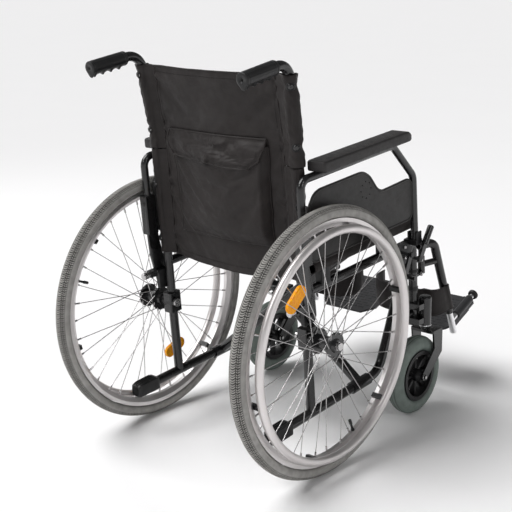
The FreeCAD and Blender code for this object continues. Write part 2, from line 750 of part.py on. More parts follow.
def brake_shoe():
    """The link that carries the bar which presses on the rear tyre."""
    u, v = SHOE_PIVOT
    bar_r = WHEEL_R + SHOE_BAR_CLEAR + SHOE_BAR_R
    bar_u = bar_r * math.cos(math.radians(SHOE_BAR_DEG))
    bar_v = AXLE_V + bar_r * math.sin(math.radians(SHOE_BAR_DEG))
    x0 = BRAKE_X + BRAKE_BLADE[0]
    link = slab([(u + 8, v + 4), (u - 6, v + 8), (bar_u - 7, bar_v + 2), (bar_u + 3, bar_v - 8)],
                x0, BRAKE_X + BRAKE_BLADE[1])
    link = rounded(link, 3.0, X_AXIS)
    hole = rod(at(BRAKE_X - 9, u, v), at(BRAKE_X + 9, u, v), BRAKE_PIN_R + RUN)
    bar = rod(at(x0, bar_u, bar_v), at(WHEEL_X + TYRE_HALF, bar_u, bar_v), SHOE_BAR_R)
    return [link.fuse(bar).removeSplitter().cut(hole)]


# ---- Armrest ---------------------------------------------------------------------------------------
def arm_tube():
    points = [
        at(ARM_X, -20.5, 186.0),
        at(ARM_X, -20.5, 364.0),
        at(ARM_X, 314.0, 368.0),
        at(ARM_X, 396.0, 279.0),
        at(ARM_X, 398.0, UPPER_V + TUBE_R + 6 + GAP),
    ]
    return bent_tube(points, [24.0, 34.0, 34.0], ARM_TUBE_R, 1.5)


def armrest_frame():
    tube, full = arm_tube()
    u, v = ARM_PIVOT
    sleeve = box(ARM_X - 11, ARM_X + 11, -37, -4, 178, 272)
    sleeve = rounded(sleeve, 3.0, Z_AXIS)
    foot = slab([(u - 15, v), (u - 9, v - 13), (u + 9, v - 13), (u + 15, v), (u + 13, v + 40),
                 (-6, 182), (-35, 182), (-33, v + 70)], ARM_X - 6.5, ARM_X - 0.5)
    hole = rod(at(ARM_X - 20, u, v), at(ARM_X + 20, u, v), ARM_PIN_R + RUN)
    block = box(LATCH_X - 6, ARM_X - 0.5, -48, -28, LATCH_V - 8, LATCH_V + 8)
    ear = box(ARM_X - 6.5, ARM_X - 0.5, -30, -14, LATCH_V - 8, LATCH_V + 8)
    bore = rod(at(LATCH_X, -60, LATCH_V), at(LATCH_X, -10, LATCH_V), LATCH_PIN_R + RUN)
    lower = sleeve.fuse([foot, block, ear]).removeSplitter().cut(full).cut(hole).cut(bore)
    return [tube, largest(lower)]


def armrest_pad():
    rear = 374.0 + 0.6
    outline = [(PAD_U0, rear), (PAD_U1, rear + 6), (PAD_U1 + 2, rear + 6 + PAD_T * 0.6),
               (PAD_U1 - 8, rear + 6 + PAD_T * 0.85), (PAD_U0 + 8, rear + PAD_T + 1),
               (PAD_U0 - 2, rear + PAD_T * 0.7)]
    inner = FRAME_X + TUBE_R + 1.5
    pad = slab(outline, inner, inner + PAD_W)
    pad = rounded(pad, 6.0)
    return [pad.cut(arm_tube()[1])]


PANEL_OUTLINE = [(0, 176), (0, 296), (22, 325), (42, 331), (196, 333), (221, 319), (250, 281),
                 (268, 271.5), (372, 275), (394, 262), (394, 176)]


def side_panel():
    panel = slab(PANEL_OUTLINE, ARM_X - PANEL_T / 2, ARM_X + PANEL_T / 2)
    return [largest(panel.cut(armrest_frame()[1]).cut(arm_tube()[1]))]


def armrest_latch():
    """The sprung plunger that locks the armrest down, with its pull knob."""
    pin = rod(at(LATCH_X, -23.5, LATCH_V), at(LATCH_X, -54, LATCH_V), LATCH_PIN_R)
    knob = rounded(rod(at(LATCH_X, -52, LATCH_V), at(LATCH_X, -70, LATCH_V), 8.0), 2.5)
    return [pin.fuse(knob).removeSplitter()]


# ---- Footrest --------------------------------------------------------------------------------------
def foot_way():
    """The direction of a footplate's pivot rod, forward and up."""
    return at(0, math.cos(HANGER_LEAN), math.sin(HANGER_LEAN))


def down_way():
    """The direction of the hanger's sloping tube, down and forward."""
    return at(0, math.sin(HANGER_LEAN), -math.cos(HANGER_LEAN))


def foot_axis_start():
    v = FOOT_TUBE_V + 35.0
    return at(HANGER_X, hanger_u(v), v)


def hanger_tube():
    low_v = FOOT_TUBE_V + 62.0
    points = [
        at(FRAME_X, HANGER_PIVOT_U - 12.0, HANGER_TOP_V),
        at(HANGER_X, hanger_u(HANGER_TOP_V), HANGER_TOP_V),
        at(HANGER_X, hanger_u(low_v), low_v),
    ]
    return bent_tube(points, [24.0], TUBE_R, HANGER_WALL)


def hanger():
    tube, full = hanger_tube()
    pin = hinge_rod(LUG_V[0] - 3.0, HANGER_TOP_V, HINGE_PIN_R)
    barrel = hinge_rod(LUG_V[0] + LUG_T + GAP, LUG_V[1] - GAP, HINGE_BARREL_R)
    collar = hinge_rod(LUG_V[1] + LUG_T + GAP, HANGER_TOP_V - 3.5, 7.0)
    bar_v = (LUG_V[0] + LUG_T + LUG_V[1]) / 2
    bar = rod(at(FRAME_X, HANGER_PIVOT_U, bar_v), at(HANGER_X, hanger_u(bar_v), bar_v), 8.0)
    hinge = barrel.fuse([bar, pin, collar]).cut(full)
    return [tube, largest(hinge)]


def footrest_tube():
    way = down_way()
    bottom = at(HANGER_X, hanger_u(FOOT_TUBE_V), FOOT_TUBE_V)
    radius = TUBE_R - HANGER_WALL - RUN
    start = bottom - way * 190.0
    tube = hollow_rod(start, bottom, radius, radius - 1.5)
    axis = foot_way()
    first = foot_axis_start()
    pivot = rod(first, first + axis * 118.0, FOOT_ROD_R)
    cap = rounded(rod(first + axis * 112.0, first + axis * 121.0, 12.5), 2.5)
    full = rod(start, bottom, radius)
    return [tube, largest(pivot.fuse(cap).removeSplitter().cut(full))]


def foot_point(along, inward, up):
    """A point of the footplate: along its pivot rod, inward of it and up from it."""
    lift = at(0, -math.sin(HANGER_LEAN), math.cos(HANGER_LEAN))
    return foot_axis_start() + foot_way() * along - Vector(inward, 0, 0) + lift * up


def foot_prism(outline, up0, up1):
    """A plate parallel to the footplate's top, from its outline in (along, inward)."""
    points = [foot_point(a, i, up0) for a, i in outline]
    face = Part.Face(Part.makePolygon(points + points[:1]))
    return face.extrude(foot_point(0, 0, up1) - foot_point(0, 0, up0))


def footplate():
    """A ribbed plate on a moulded arm that turns on the pivot rod."""
    a0 = -PLATE_BACK
    a1 = a0 + PLATE_LENGTH
    top = -PLATE_DROP
    outline = [(a0 + 16, 26), (a0, 44), (a0, PLATE_REACH - 34), (a0 + 30, PLATE_REACH),
               (a1 - 22, PLATE_REACH), (a1, PLATE_REACH - 24), (a1, 22), (a1 - 12, 10), (26, 10)]
    plate = foot_prism(outline, top - PLATE_T, top)
    skirt = foot_prism([(26, 8), (26, 15), (96, 15), (96, 8)], top - PLATE_T, 0.0)
    sleeve = rod(foot_point(26, 0, 0), foot_point(98, 0, 0), 11.0)
    web = foot_prism([(26, 0), (26, 15), (96, 15), (96, 0)], -6.0, 6.0)
    bore = rod(foot_point(0, 0, 0), foot_point(140, 0, 0), FOOT_ROD_R + RUN)
    return [plate.fuse([skirt, sleeve, web]).removeSplitter().cut(bore)]


def heel_loop():
    """The band behind the heel, from the hanger round to the plate's inner end."""
    inner_x = PLATE_GAP + 5.0
    outer_x = HANGER_X - TUBE_R - 3.0
    outer = [(1.0, 546), (0.955, 500), (0.733, 476), (0.4, 472), (0.111, 490), (0.006, 530), (0.0, 554)]
    inner = [(0.017, 554), (0.022, 531), (0.122, 493), (0.406, 475), (0.728, 479), (0.939, 502),
             (0.983, 546)]
    points = [at(inner_x + s * (outer_x - inner_x), u, HEEL_V) for s, u in outer + inner]
    face = Part.Face(Part.makePolygon(points + points[:1]))
    return [face.extrude(Vector(0, 0, HEEL_H))]


# ---- Cross brace, seat and back --------------------------------------------------------------------
def brace_tube(lean_side, side_u):
    """One brace tube from a lower rail up to the other side's seat rail, with knuckle and rail."""
    foot = at(lean_side * FRAME_X, BRACE_U + side_u, LOWER_V)
    head = at(-lean_side * FRAME_X, BRACE_U + side_u, SEAT_V)
    full = rod(foot, head, BRACE_R)
    tube = full.cut(rod(foot, head, BRACE_R - BRACE_WALL))
    knuckle_start = foot - forward(KNUCKLE_LEN / 2)
    knuckle_end = foot + forward(KNUCKLE_LEN / 2)
    knuckle_full = rod(knuckle_start, knuckle_end, KNUCKLE_R)
    knuckle = knuckle_full.cut(rod(knuckle_start, knuckle_end, TUBE_R + RUN))
    rail_start = at(head.x, SEAT_U0, SEAT_V)
    rail_end = at(head.x, SEAT_U1, SEAT_V)
    rail = hollow_rod(rail_start, rail_end, TUBE_R, TUBE_R - TUBE_WALL)
    tube = largest(tube.cut(knuckle_full).cut(rod(rail_start, rail_end, TUBE_R)))
    return tube, knuckle, rail


def cross_tube(lean_side, side_u, bolt_clearance):
    tube, knuckle, rail = brace_tube(lean_side, side_u)
    bolt = rod(at(0, BRACE_U - 60, PIVOT_V), at(0, BRACE_U + 60, PIVOT_V),
               BRACE_BOLT_R + bolt_clearance)
    return [tube.cut(bolt), knuckle, rail]


def cross_bolt():
    """The bolt that the two brace tubes turn on, with its head and nut."""
    reach = BRACE_SIDE + BRACE_R
    bolt = rod(at(0, BRACE_U - reach - 8, PIVOT_V), at(0, BRACE_U + reach + 8, PIVOT_V), BRACE_BOLT_R)
    head = rod(at(0, BRACE_U + reach + 0.3, PIVOT_V), at(0, BRACE_U + reach + 6, PIVOT_V), 7.5)
    nut = rod(at(0, BRACE_U - reach - 6, PIVOT_V), at(0, BRACE_U - reach - 0.3, PIVOT_V), 7.5)
    return [bolt.fuse([head, nut]).removeSplitter()]


def seat():
    """The seat sling's closed form, hung between the two seat rails."""
    half = FRAME_X - TUBE_R - GAP
    slope = math.atan2(SEAT_V - LOWER_V, 2 * FRAME_X)
    brace_top = BRACE_R / math.cos(slope) - (FRAME_X - half) * math.tan(slope)
    low = SEAT_V + brace_top + SEAT_CLEAR
    return [box(-half, half, SEAT_U0 + 2, SEAT_U1 - 2, low, low + SEAT_T)]


def back_panel():
    """The back sling's closed form between the rear uprights, with the pocket's bulk behind it."""
    half = FRAME_X - TUBE_R - GAP
    lean_u = (HANDLE_TOP[1] - UPRIGHT_U) / (HANDLE_TOP[2] - UPRIGHT_KNEE_V)
    top_u = UPRIGHT_U + lean_u * (BACK_V1 - UPRIGHT_KNEE_V)
    front = 4.0
    rear = -7.0
    outline = [
        (UPRIGHT_U + front, BACK_V0), (UPRIGHT_U + front, UPRIGHT_KNEE_V),
        (top_u + front, BACK_V1), (top_u + rear, BACK_V1),
        (UPRIGHT_U + rear, UPRIGHT_KNEE_V), (UPRIGHT_U + rear, BACK_V0),
    ]
    sling = slab(outline, -half, half)
    pocket = slab([(UPRIGHT_U, 196), (UPRIGHT_U, 425), (UPRIGHT_U - 20, 405), (UPRIGHT_U - 24, 215)],
                  -135.0, 140.0)
    return [sling.fuse(pocket).removeSplitter()]


# ---- Export ----------------------------------------------------------------------------------------
LEANING = {
    "side_frame": side_frame,
    "push_grip": push_grip,
    "axle_bracket": axle_bracket,
    "frame_fittings": frame_fittings,
    "frame_fasteners": frame_fasteners,
    "rear_axle": rear_axle,
    "brake_lever": brake_lever,
    "brake_shoe": brake_shoe,
    "armrest_frame": armrest_frame,
    "armrest_pad": armrest_pad,
    "side_panel": side_panel,
    "armrest_latch": armrest_latch,
    "hanger": hanger,
    "footrest_tube": footrest_tube,
    "footplate": footplate,
    "heel_loop": heel_loop,
}
UPRIGHT = {
    "castor_housing": castor_housing,
    "rear_tyre": rear_tyre,
    "rear_rim": rear_rim,
    "rear_spokes": spokes,
    "rear_hub": rear_hub,
    "handrim": handrim,
    "handrim_standoffs": standoffs,
    "castor_fork": castor_fork,
    "castor_tyre": castor_tyre,
    "castor_wheel": castor_wheel,
}
REFLECTOR_ANGLES = {"left": -158.0, "right": 40.0}
MIDDLE = {
    "cross_tube_a": lambda: cross_tube(1, -BRACE_SIDE, 0.0),
    "cross_tube_b": lambda: cross_tube(-1, BRACE_SIDE, RUN),
    "cross_bolt": cross_bolt,
    "seat_upholstery": seat,
    "back_upholstery": back_panel,
}


def save(name, solids):
    for solid in solids:
        if not solid.isValid() or solid.Volume <= 0:
            print("check", name, solid.isValid(), round(solid.Volume, 1))
    Part.makeCompound(solids).exportStep(os.path.join("parts", name + ".step"))


def both_sides(name, solids):
    save("left_" + name, solids)
    save("right_" + name, [mirrored(s) for s in solids])


def main():
    os.makedirs("parts", exist_ok=True)
    for name, build in LEANING.items():
        both_sides(name, [lean(s) for s in build()])
    for name, build in UPRIGHT.items():
        both_sides(name, build())
    save("left_reflector", reflector_at(REFLECTOR_ANGLES["left"]))
    save("right_reflector", [mirrored(s) for s in reflector_at(REFLECTOR_ANGLES["right"])])
    for name, build in MIDDLE.items():
        save(name, [lean(s) for s in build()])


if __name__ == "__main__":
    main()
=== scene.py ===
import json
import math

import bmesh
import bpy
from mathutils import Matrix, Vector, noise


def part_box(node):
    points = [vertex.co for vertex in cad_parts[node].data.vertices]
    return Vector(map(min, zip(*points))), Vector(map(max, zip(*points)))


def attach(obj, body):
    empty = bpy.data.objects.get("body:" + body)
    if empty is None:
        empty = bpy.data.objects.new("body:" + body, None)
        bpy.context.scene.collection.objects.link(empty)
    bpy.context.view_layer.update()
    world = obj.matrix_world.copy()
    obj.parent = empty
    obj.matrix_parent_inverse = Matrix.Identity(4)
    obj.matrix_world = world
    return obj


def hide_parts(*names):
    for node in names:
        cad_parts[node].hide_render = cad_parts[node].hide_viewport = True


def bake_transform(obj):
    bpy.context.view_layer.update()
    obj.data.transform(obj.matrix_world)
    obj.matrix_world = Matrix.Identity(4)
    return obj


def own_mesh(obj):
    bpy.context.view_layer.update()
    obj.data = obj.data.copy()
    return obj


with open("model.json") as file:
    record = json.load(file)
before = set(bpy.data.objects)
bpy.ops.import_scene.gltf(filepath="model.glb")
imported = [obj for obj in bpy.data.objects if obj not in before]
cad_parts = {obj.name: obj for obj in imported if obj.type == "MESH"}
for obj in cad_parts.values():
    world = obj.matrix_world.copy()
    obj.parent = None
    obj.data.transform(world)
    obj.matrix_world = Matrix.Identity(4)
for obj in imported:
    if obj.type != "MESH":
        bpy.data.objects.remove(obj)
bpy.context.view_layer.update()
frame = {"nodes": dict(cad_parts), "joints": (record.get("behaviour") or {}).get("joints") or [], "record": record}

# The looks of a folding manual wheelchair, in metres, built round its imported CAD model.
# The side frames lean back a little: x is outward to the sitter's left, u runs forward along the
# rails and v runs up the posts, both from the rear axle.
JOINTS = {joint["name"]: joint for joint in frame["joints"]}
NODES = frame["nodes"]
AXLE = Vector(JOINTS["left_wheel_spin"]["pos_m"])
FOLD_AXIS = Vector(JOINTS["fold"]["axis"])
COS = FOLD_AXIS.y
SIN = -FOLD_AXIS.z
FRAME_X = JOINTS["fold"]["pos_m"][0]
UP = Vector((0, SIN, COS))
FORWARD = Vector((0, -COS, SIN))
OUTWARD = Vector((1, 0, 0))
TUBE_R = 0.011
SIGNS = {"left": 1, "right": -1}
ON_AXIS = 0.0001      # where a turned profile closes, just off its axis
SCENE = bpy.context.scene


# ---- Places --------------------------------------------------------------------------
def at(x, u, v):
    """A point of the leaning frame."""
    return Vector((x, AXLE.y - u * COS + v * SIN, AXLE.z + u * SIN + v * COS))


def to_leaning(point):
    """x, u and v of a point."""
    y = point.y - AXLE.y
    z = point.z - AXLE.z
    return Vector((point.x, z * SIN - y * COS, y * SIN + z * COS))


def extent(points):
    """Lowest and highest corner of a set of points."""
    return (Vector(min(p[i] for p in points) for i in range(3)),
            Vector(max(p[i] for p in points) for i in range(3)))


def leaning_box(name):
    """Lowest and highest x, u, v of a CAD node."""
    points = [to_leaning(vertex.co) for vertex in NODES[name].data.vertices]
    return extent(points)


def mix(a, b, share):
    return a + (b - a) * share


def smooth(edge0, edge1, value):
    """0 before edge0, 1 after edge1, and a soft step between."""
    share = min(1.0, max(0.0, (value - edge0) / (edge1 - edge0)))
    return share * share * (3 - 2 * share)


def hill(centre, width, value):
    return math.exp(-((value - centre) / width) ** 2)


# ---- Meshes --------------------------------------------------------------------------
def piece(name, points, faces, material, body=None, slot=None):
    """A smooth-shaded mesh object, on its body."""
    mesh = bpy.data.meshes.new(name)
    mesh.from_pydata([tuple(p) for p in points], [], faces)
    mesh.materials.append(material)
    obj = bpy.data.objects.new(name, mesh)
    SCENE.collection.objects.link(obj)
    tidy_normals(obj)
    if body:
        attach(obj, body)
    return obj


def tidy_normals(obj):
    work = bmesh.new()
    work.from_mesh(obj.data)
    bmesh.ops.recalc_face_normals(work, faces=work.faces)
    work.to_mesh(obj.data)
    work.free()
    obj.data.shade_smooth()


def grid_faces(rows, columns, close_rows=False, close_columns=False):
    """Quads between neighbouring points of a grid that is stored row by row."""
    faces = []
    for i in range(rows if close_rows else rows - 1):
        for j in range(columns if close_columns else columns - 1):
            here = i * columns
            following = (i + 1) % rows * columns
            side = (j + 1) % columns
            faces.append((here + j, here + side, following + side, following + j))
    return faces


def loft(rings, ends=True):
    """Points and faces of a skin through closed rings, with flat ends."""
    count = len(rings[0])
    points = [p for ring in rings for p in ring]
    faces = grid_faces(len(rings), count, close_columns=True)
    if ends:
        faces.append(tuple(range(count)))
        faces.append(tuple(range(len(points) - count, len(points))))
    return points, faces


def revolve(profile, centre, axis, steps):
    """Points and faces of a closed (along, radius) profile turned about an axis."""
    axis = axis.normalized()
    across = axis.orthogonal().normalized()
    other = axis.cross(across)
    rings = []
    for i in range(steps):
        angle = 2 * math.pi * i / steps
        out = across * math.cos(angle) + other * math.sin(angle)
        rings.append([centre + axis * a + out * r for a, r in profile])
    points = [p for ring in rings for p in ring]
    return points, grid_faces(steps, len(profile), close_rows=True, close_columns=True)


def merged(parts):
    """One mesh's points and faces from several."""
    points = []
    faces = []
    for part_points, part_faces in parts:
        start = len(points)
        points += part_points
        faces += [tuple(start + i for i in face) for face in part_faces]
    return points, faces


def ring_round(centre, across, other, radius, count=16):
    return [centre + across * (radius * math.cos(2 * math.pi * i / count))
            + other * (radius * math.sin(2 * math.pi * i / count)) for i in range(count)]


def wire(path, radius, closed=False, count=10):
    """A round tube along a path of points."""
    rings = []
    total = len(path)
    for i, point in enumerate(path):
        before = path[i - 1] if closed or i else path[0]
        after = path[(i + 1) % total] if closed or i < total - 1 else path[-1]
        way = (after - before).normalized()
        across = way.cross(OUTWARD if abs(way.x) < 0.9 else UP).normalized()
        rings.append(ring_round(point, across, way.cross(across), radius, count))
    if closed:
        points = [p for ring in rings for p in ring]
        return points, grid_faces(total, count, close_rows=True, close_columns=True)
    return loft(rings)


def placed_piece(side, name, made, slot, body=None):
    """A piece of one side that is made where it stands."""
    points, faces = made
    if body:
        body = f"{side}_{body}"
    return piece(f"{side}_{name}", points, faces, MATERIALS[slot], body, slot)


def side_piece(side, name, made, slot, body=None):
    """A piece that is made for the left, as it is or mirrored for the right."""
    points, faces = made
    if side == "right":
        points = [Vector((-p.x, p.y, p.z)) for p in points]
    return placed_piece(side, name, (points, faces), slot, body)


def vertex_points(obj):
    return [vertex.co.copy() for vertex in obj.data.vertices]


def thicken(obj, thickness, offset=0.0):
    """Gives a sheet its thickness, as real geometry."""
    skin = obj.modifiers.new("thickness", "SOLIDIFY")
    skin.thickness = thickness
    skin.offset = offset
    apply_modifiers(obj)


def apply_modifiers(obj):
    """Replaces the mesh with what its modifiers make."""
    bpy.context.view_layer.update()
    evaluated = obj.evaluated_get(bpy.context.evaluated_depsgraph_get())
    mesh = bpy.data.meshes.new_from_object(evaluated)
    obj.modifiers.clear()
    obj.data = mesh
    obj.data.shade_smooth()


def subdivide(obj, levels=1):
    finer = obj.modifiers.new("finer", "SUBSURF")
    finer.levels = levels
    finer.render_levels = levels
    apply_modifiers(obj)


# ---- Materials -----------------------------------------------------------------------
class Shader:
    """A principled material whose colour, roughness and relief come from textures in its nodes."""

    def __init__(self, name, colour, roughness, metallic=0.0, **sockets):
        self.material = bpy.data.materials.new(name)
        self.material.use_nodes = True
        self.tree = self.material.node_tree
        self.surface = self.tree.nodes["Principled BSDF"]
        self.colour = colour
        self.height = None
        self.set("Base Color", (*colour, 1.0))
        self.set("Roughness", roughness)
        self.set("Metallic", metallic)
        for socket, value in sockets.items():
            self.set(socket.replace("_", " "), value)
        self.place = self.add("ShaderNodeTexCoord").outputs["Object"]

    def set(self, socket, value):
        self.surface.inputs[socket].default_value = value

    def add(self, kind, inputs=None, **settings):
        node = self.tree.nodes.new(kind)
        for key, value in settings.items():
            setattr(node, key, value)
        for key, value in (inputs or {}).items():
            if isinstance(value, bpy.types.NodeSocket):
                self.tree.links.new(value, node.inputs[key])
            else:
                node.inputs[key].default_value = value
        return node

    def join(self, output, socket):
        self.tree.links.new(output, self.surface.inputs[socket])

    def noise(self, scale, detail=3.0, stretch=(1, 1, 1)):
        place = self.add("ShaderNodeMapping", {"Vector": self.place, "Scale": stretch})
        made = self.add("ShaderNodeTexNoise",
                        {"Vector": place.outputs[0], "Scale": scale, "Detail": detail})
        return made.outputs["Fac"]

    def ranged(self, value, low, high, start=0.3, end=0.7):
        node = self.add("ShaderNodeMapRange", {"Value": value, "From Min": start, "From Max": end,
                                               "To Min": low, "To Max": high})
        return node.outputs["Result"]

    def shade(self, factor, other):
        """Mixes the colour so far towards another by a factor."""
        node = self.add("ShaderNodeMix", data_type="RGBA")
        self.tree.links.new(factor, node.inputs["Factor"])
        base = self.surface.inputs["Base Color"]
        if base.links:
            self.tree.links.new(base.links[0].from_socket, node.inputs["A"])
        else:
            node.inputs["A"].default_value = base.default_value
        node.inputs["B"].default_value = (*other, 1.0)
        self.join(node.outputs["Result"], "Base Color")

    def mottle(self, scale, share, other, detail=4.0, stretch=(1, 1, 1)):
        self.shade(self.ranged(self.noise(scale, detail, stretch), 0.0, share), other)

    def rough(self, scale, low, high, stretch=(1, 1, 1)):
        self.join(self.ranged(self.noise(scale, 4.0, stretch), low, high), "Roughness")

    def relief(self, height, strength, distance):
        """Adds a bump on top of those already there."""
        inputs = {"Height": height, "Strength": strength, "Distance": distance}
        normal = self.surface.inputs["Normal"]
        if normal.links:
            inputs["Normal"] = normal.links[0].from_socket
        self.join(self.add("ShaderNodeBump", inputs).outputs["Normal"], "Normal")

    def bands(self, direction, scale):
        made = self.add("ShaderNodeTexWave", {"Vector": self.place, "Scale": scale},
                        wave_type="BANDS", bands_direction=direction)
        return made.outputs["Fac"]

    def attribute(self, name):
        return self.add("ShaderNodeAttribute", attribute_name=name).outputs["Fac"]


def painted(name, colour=(0.006, 0.006, 0.0065)):
    """Gloss powder coat: a slight orange peel, dust and faint scuffs."""
    shader = Shader(name, colour, 0.2, Coat_Weight=0.2, Coat_Roughness=0.08)
    shader.mottle(35, 0.5, (0.012, 0.0115, 0.0115))
    shader.rough(60, 0.14, 0.28)
    shader.relief(shader.noise(900, 2.0), 0.12, 0.0002)
    return shader.material


def moulded(name, colour, low, high, grain=2200, depth=0.25):
    """Moulded plastic or rubber with a fine grain and uneven gloss."""
    shader = Shader(name, colour, (low + high) / 2, Specular_IOR_Level=0.32)
    lighter = tuple(c * 1.6 + 0.002 for c in colour)
    shader.mottle(22, 0.45, lighter)
    shader.rough(90, low, high)
    cells = shader.add("ShaderNodeTexVoronoi", {"Vector": shader.place, "Scale": grain})
    shader.relief(cells.outputs["Distance"], depth, 0.0003)
    shader.relief(shader.noise(45), 0.05, 0.002)
    return shader.material


def metal(name, colour, low, high, streak=(1, 1, 1), scale=400):
    """Bare metal with fine streaks of brushing and fingermarks in its gloss."""
    shader = Shader(name, colour, (low + high) / 2, metallic=1.0)
    shader.mottle(18, 0.35, tuple(c * 0.8 for c in colour))
    shader.rough(scale, low, high, streak)
    shader.relief(shader.noise(scale * 2, 2.0, streak), 0.06, 0.0002)
    return shader.material


def satin_aluminium(name, colour, low, high):
    """Satin anodised aluminium, a little uneven in tone and gloss."""
    shader = Shader(name, colour, (low + high) / 2, metallic=1.0)
    shader.mottle(10, 0.4, tuple(c * 0.85 for c in colour))
    shader.rough(25, low, high)
    shader.relief(shader.noise(70, 2.0), 0.03, 0.0008)
    return shader.material


def woven(name, colour, lighter, sheen=0.04):
    """Coated nylon: fine plain weave, soft sheen, faint creases and rubbed patches."""
    shader = Shader(name, colour, 0.58, Sheen_Weight=sheen, Sheen_Roughness=0.5,
                    Specular_IOR_Level=0.22)
    shader.mottle(7, 0.75, lighter, detail=5.0)
    shader.mottle(60, 0.35, tuple(c * 0.6 for c in colour))
    warp = shader.bands("X", 210)
    weft = shader.bands("Z", 210)
    threads = shader.add("ShaderNodeMath", operation="MULTIPLY")
    shader.tree.links.new(warp, threads.inputs[0])
    shader.tree.links.new(weft, threads.inputs[1])
    shader.relief(threads.outputs[0], 0.35, 0.0004)
    shader.relief(shader.noise(24, 5.0), 0.4, 0.004)
    shader.rough(40, 0.46, 0.66)
    return shader.material


def tyre_rubber(name, colour, dirt_and_groove_shade, lighter):
    """Grey tyre rubber: painted shade darkens its grooves, dusty on the tread and paler on the sidewall."""
    shader = Shader(name, colour, 0.72, Specular_IOR_Level=0.3)
    shader.shade(shader.ranged(shader.attribute("wall"), 0.0, 0.65, 0.0, 1.0), lighter)
    shader.mottle(55, 0.35, dirt_and_groove_shade)
    shader.mottle(9, 0.3, tuple(c * 0.75 for c in colour))
    # painted shade: the deeper a groove, the closer its colour comes to the dark dirt colour
    shader.shade(shader.ranged(shader.attribute("groove"), 0.0, 0.95, 0.0, 1.0), dirt_and_groove_shade)
    shader.relief(shader.noise(1400, 2.0), 0.2, 0.0003)
    shader.rough(70, 0.55, 0.8)
    return shader.material


def amber():
    """A moulded reflector: small prisms under a glossy face, with painted highlights on the prisms."""
    shader = Shader("reflector_amber", (0.84, 0.22, 0.0), 0.2, Specular_IOR_Level=0.25)
    cells = shader.add("ShaderNodeTexVoronoi", {"Vector": shader.place, "Scale": 190},
                       distance="CHEBYCHEV")
    # painted highlight: each prism is painted a lighter orange towards its edges, as light catching its facets
    shader.shade(shader.ranged(cells.outputs["Distance"], 0.0, 0.7, 0.0, 0.6), (1.0, 0.5, 0.0))
    shader.relief(cells.outputs["Distance"], 0.7, 0.002)
    return shader.material


MATERIALS = {
    "frame_black": painted("frame_black"),
    "grip_rubber": moulded("grip_rubber", (0.011, 0.011, 0.0115), 0.3, 0.46),
    "black_plastic": moulded("black_plastic", (0.009, 0.009, 0.0095), 0.28, 0.44),
    "fastener_steel": metal("fastener_steel", (0.55, 0.54, 0.54), 0.18, 0.32),
    # a tyre's second colour is its dust and also the painted shade in its grooves
    "rear_tyre": tyre_rubber("rear_tyre", (0.37, 0.36, 0.34), (0.016, 0.015, 0.014),
                             (0.36, 0.352, 0.338)),
    "rim_aluminium": satin_aluminium("rim_aluminium", (0.74, 0.715, 0.71), 0.34, 0.44),
    "spoke_steel": metal("spoke_steel", (0.5, 0.49, 0.49), 0.16, 0.28),
    "hub_black": painted("hub_black", (0.016, 0.016, 0.017)),
    "handrim_aluminium": satin_aluminium("handrim_aluminium", (0.72, 0.69, 0.685), 0.38, 0.48),
    "reflector_amber": amber(),
    # the castor tyre's second colour is also its dust and the painted shade in its grooves
    "castor_tyre": tyre_rubber("castor_tyre", (0.19, 0.225, 0.205), (0.05, 0.062, 0.056),
                               (0.21, 0.25, 0.228)),
    "pad_urethane": moulded("pad_urethane", (0.017, 0.0155, 0.0155), 0.38, 0.54, 1500, 0.4),
    "panel_plastic": moulded("panel_plastic", (0.014, 0.013, 0.0125), 0.34, 0.5, 1300, 0.3),
    "chrome": metal("chrome", (0.86, 0.86, 0.87), 0.05, 0.14),
    "footplate_plastic": moulded("footplate_plastic", (0.022, 0.022, 0.0235), 0.36, 0.54, 1300,
                                 0.3),
    "nylon_black": woven("nylon_black", (0.0150, 0.0122, 0.0118), (0.026, 0.0215, 0.0207)),
}
THREAD = woven("thread_black", (0.008, 0.007, 0.007), (0.014, 0.012, 0.012), 0.0)


def finish_cad_nodes():
    """Every CAD node that shows gets the finish of its material slot."""
    for part in frame["record"]["subparts"]:
        mesh = NODES[part["node"]].data
        mesh.materials.clear()
        mesh.materials.append(MATERIALS[part["material_slot"]])


# ---- Rear wheels ---------------------------------------------------------------------
TREAD_PITCH = 0.0105
TYRE_BEAD = 0.0095              # half the tyre's width where it meets the rim
GROOVE_DEPTH = 0.0016
# A pitch of the tread as (share of the pitch, depth): an arched groove, then a narrower one.
GROOVE_SHARES = ((0.0, 0.0), (0.07, 1.0), (0.25, 1.0), (0.32, 0.0), (0.52, 0.0), (0.58, 0.9),
                 (0.70, 0.9), (0.76, 0.0))
# Half of the tread's section as (arc from the middle, arch, groove along the tyre).
TREAD_HALF_SECTION = ((0.0, 0.0048, 0.0), (0.0032, 0.0042, 0.0), (0.006, 0.0022, 0.0),
                      (0.0078, 0.0004, 0.0), (0.0084, 0.0, 1.0), (0.0092, 0.0, 1.0),
                      (0.0098, 0.0006, 0.0), (0.0122, 0.0024, 0.0), (0.0128, 0.0026, 0.9),
                      (0.0134, 0.0024, 0.9), (0.0140, 0.0018, 0.0), (0.0172, 0.0, 0.0))
WALL_ANGLES = (58, 64, 74, 86, 98, 110)       # sidewall stations, degrees from the crown


def tyre_stations(half):
    """The tyre's section as (angle, arch, tread share, sunk), from one bead to the other."""
    near = [(arc / half, arch, 1.0, sunk) for arc, arch, sunk in TREAD_HALF_SECTION]
    tread = [(-angle, arch, share, sunk) for angle, arch, share, sunk in reversed(near[1:])] + near
    wall = [(math.radians(a), 0.0, 0.0, 0.5 if a == WALL_ANGLES[0] else 0.0)
            for a in WALL_ANGLES]
    opposite = [(-angle, arch, share, sunk) for angle, arch, share, sunk in reversed(wall)]
    return opposite + tread + wall


